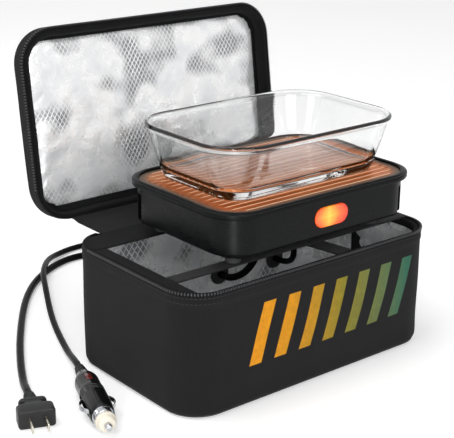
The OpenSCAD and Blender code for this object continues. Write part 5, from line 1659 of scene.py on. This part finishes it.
def make_slider():
    """The slider clasps the row from outside; its pull hangs from a bail."""
    x, y, z = BAG_L / 2 + 1.5, 44, BAG_H
    plate = block(x, y - 4.5, z - 6, x + 1.2, y + 4.5, z + 2, ZIP_METAL, 0.45)
    hook = block(x - 1.2, y - 4.5, z - 6, x + 1.2, y + 4.5, z - 4.8, ZIP_METAL, 0.3)
    ears = [block(x + 1, y + k, z - 4, x + 4.8, y + k + 1.2, z - 0.8, ZIP_METAL, 0.4) for k in (-3.5, 2.3)]
    slider = merged("slider_body", [plate, hook] + ears)
    dress(sharpen(slider), "slider", "zip_metal", "zip_slider")
    pin = Vector((x + 3, y, z - 2.4))
    rod = sweep("rod", [tuple(mm(pin.x, y + k, pin.z)) for k in (-3.5, -1, 1, 3.5)], mm(0.65), ZIP_METAL,
                12)
    shape = [(1.9, 0.7), (2.0, -1), (2.3, -10), (3.1, -21), (3.3, -23.6), (2.8, -25.4), (1.4, -26),
             (-1.4, -26), (-2.8, -25.4), (-3.3, -23.6), (-3.1, -21), (-2.3, -10), (-2.0, -1), (-1.9, 0.7)]
    layers = ((-0.7, 0.86), (-0.55, 1), (0.55, 1), (0.7, 0.86))
    rings = [[tuple(mm(pin.x + dx, y + a * s, pin.z + b)) for a, b in shape] for dx, s in layers]
    tab = loft("tab", rings, ZIP_METAL)
    hole = drill(1.6, -2, 2, slid(pin.x, y, pin.z - 21) @ spun(90, "Y"))
    carved(tab, hole)
    dress(sharpen(merged("pull_tab", [rod, tab]), 30), "pull", "zip_metal", "zip_pull")


make_slider()
bpy.data.objects.remove(stitch)
bpy.data.objects.remove(tooth)

# ---- Finishes of the CAD nodes that stay ----

KEPT = {"base_board": STIFF_BOARD, "heating_element": ELEMENT, "thermal_cutout": CUTOUT,
        "control_board": CIRCUIT, "indicator_led": LED_BODY, "bottom_cover": HOUSING, "cover_screws": SCREW,
        "rubber_feet": FOOT, "lead_glands": RUBBER, "car_plug_fuse": CERAMIC}
for node_name, material in KEPT.items():
    mesh = cad[node_name].data
    mesh.materials.clear()
    mesh.materials.append(material)

# ---- Floor and light ----


def make_floor():
    floor = block(-6000, -6000, -2, 6000, 6000, 0, None, 0, "floor")
    material, t, principled, coordinates = finish("floor_paint", Roughness=0.9)
    speckle = t.noise(coordinates["Object"], 3.0, 2.0)
    t.set(principled.inputs["Base Color"], t.mix(speckle, (0.83, 0.83, 0.83, 1), (0.86, 0.86, 0.86, 1)))
    rays = t.add("ShaderNodeLightPath").outputs
    mirrored = t.math("MAXIMUM", rays["Is Glossy Ray"], rays["Is Transmission Ray"])
    seen = t.math("MAXIMUM", rays["Is Camera Ray"], t.math("MULTIPLY", mirrored, 0.7))
    principled.inputs["Emission Color"].default_value = (1, 1, 1, 1)
    # A strip of floor glows for glossy rays only and gives the heater's near corner a painted highlight.
    x, y, _ = t.add("ShaderNodeSeparateXYZ", {0: coordinates["Object"]}).outputs
    aside = t.math("ABSOLUTE", t.math("ADD", t.math("SUBTRACT", x, y), mm(14)))
    outward = t.math("ADD", x, y)
    highlight_strip = t.math("MULTIPLY", t.span(aside, mm(20), mm(110), 1.0, 0.0),
                  t.span(outward, -0.42, -0.5, 0.0, 1.0))
    shine = t.math("MULTIPLY", t.math("MULTIPLY", rays["Is Glossy Ray"], highlight_strip), 5.0)
    t.set(principled.inputs["Emission Strength"], t.math("ADD", t.math("MULTIPLY", seen, 0.36), shine))
    floor.data.materials.append(material)


def add_lamp(name, at, size, power):
    look = (0, 0, 0.12)
    data = bpy.data.lights.new(name, "AREA")
    data.shape = "RECTANGLE"
    data.size, data.size_y = size
    data.energy = power
    lamp = bpy.data.objects.new(name, data)
    lamp.location = at
    lamp.rotation_euler = (Vector(look) - Vector(at)).to_track_quat("-Z", "Y").to_euler()
    bpy.context.scene.collection.objects.link(lamp)


def light_scene():
    add_lamp("key", (-0.7, 0.5, 2.4), (1.5, 1.5), 26)
    add_lamp("front", (-0.7, -2.6, 1.2), (1.6, 1.0), 30)
    add_lamp("side", (-2.6, -0.3, 1.2), (1.0, 1.2), 11)
    add_lamp("corner", (-1.2, -1.15, 0.3), (0.2, 0.4), 8)
    world = bpy.data.worlds.new("room")
    bpy.context.scene.world = world
    world.use_nodes = True
    t = Tree(world.node_tree)
    background = world.node_tree.nodes["Background"]
    background.inputs["Color"].default_value = (1, 1, 1, 1)
    rays = t.add("ShaderNodeLightPath").outputs
    seen = t.math("MAXIMUM", rays["Is Camera Ray"], t.math("MULTIPLY", rays["Is Transmission Ray"], 0.8))
    shiny = t.math("MULTIPLY", rays["Is Glossy Ray"], 0.85)
    t.set(background.inputs["Strength"], t.math("MAXIMUM", t.math("MAXIMUM", seen, shiny), 0.42))
    bpy.context.scene.view_settings.view_transform = "Standard"


make_floor()
light_scene()
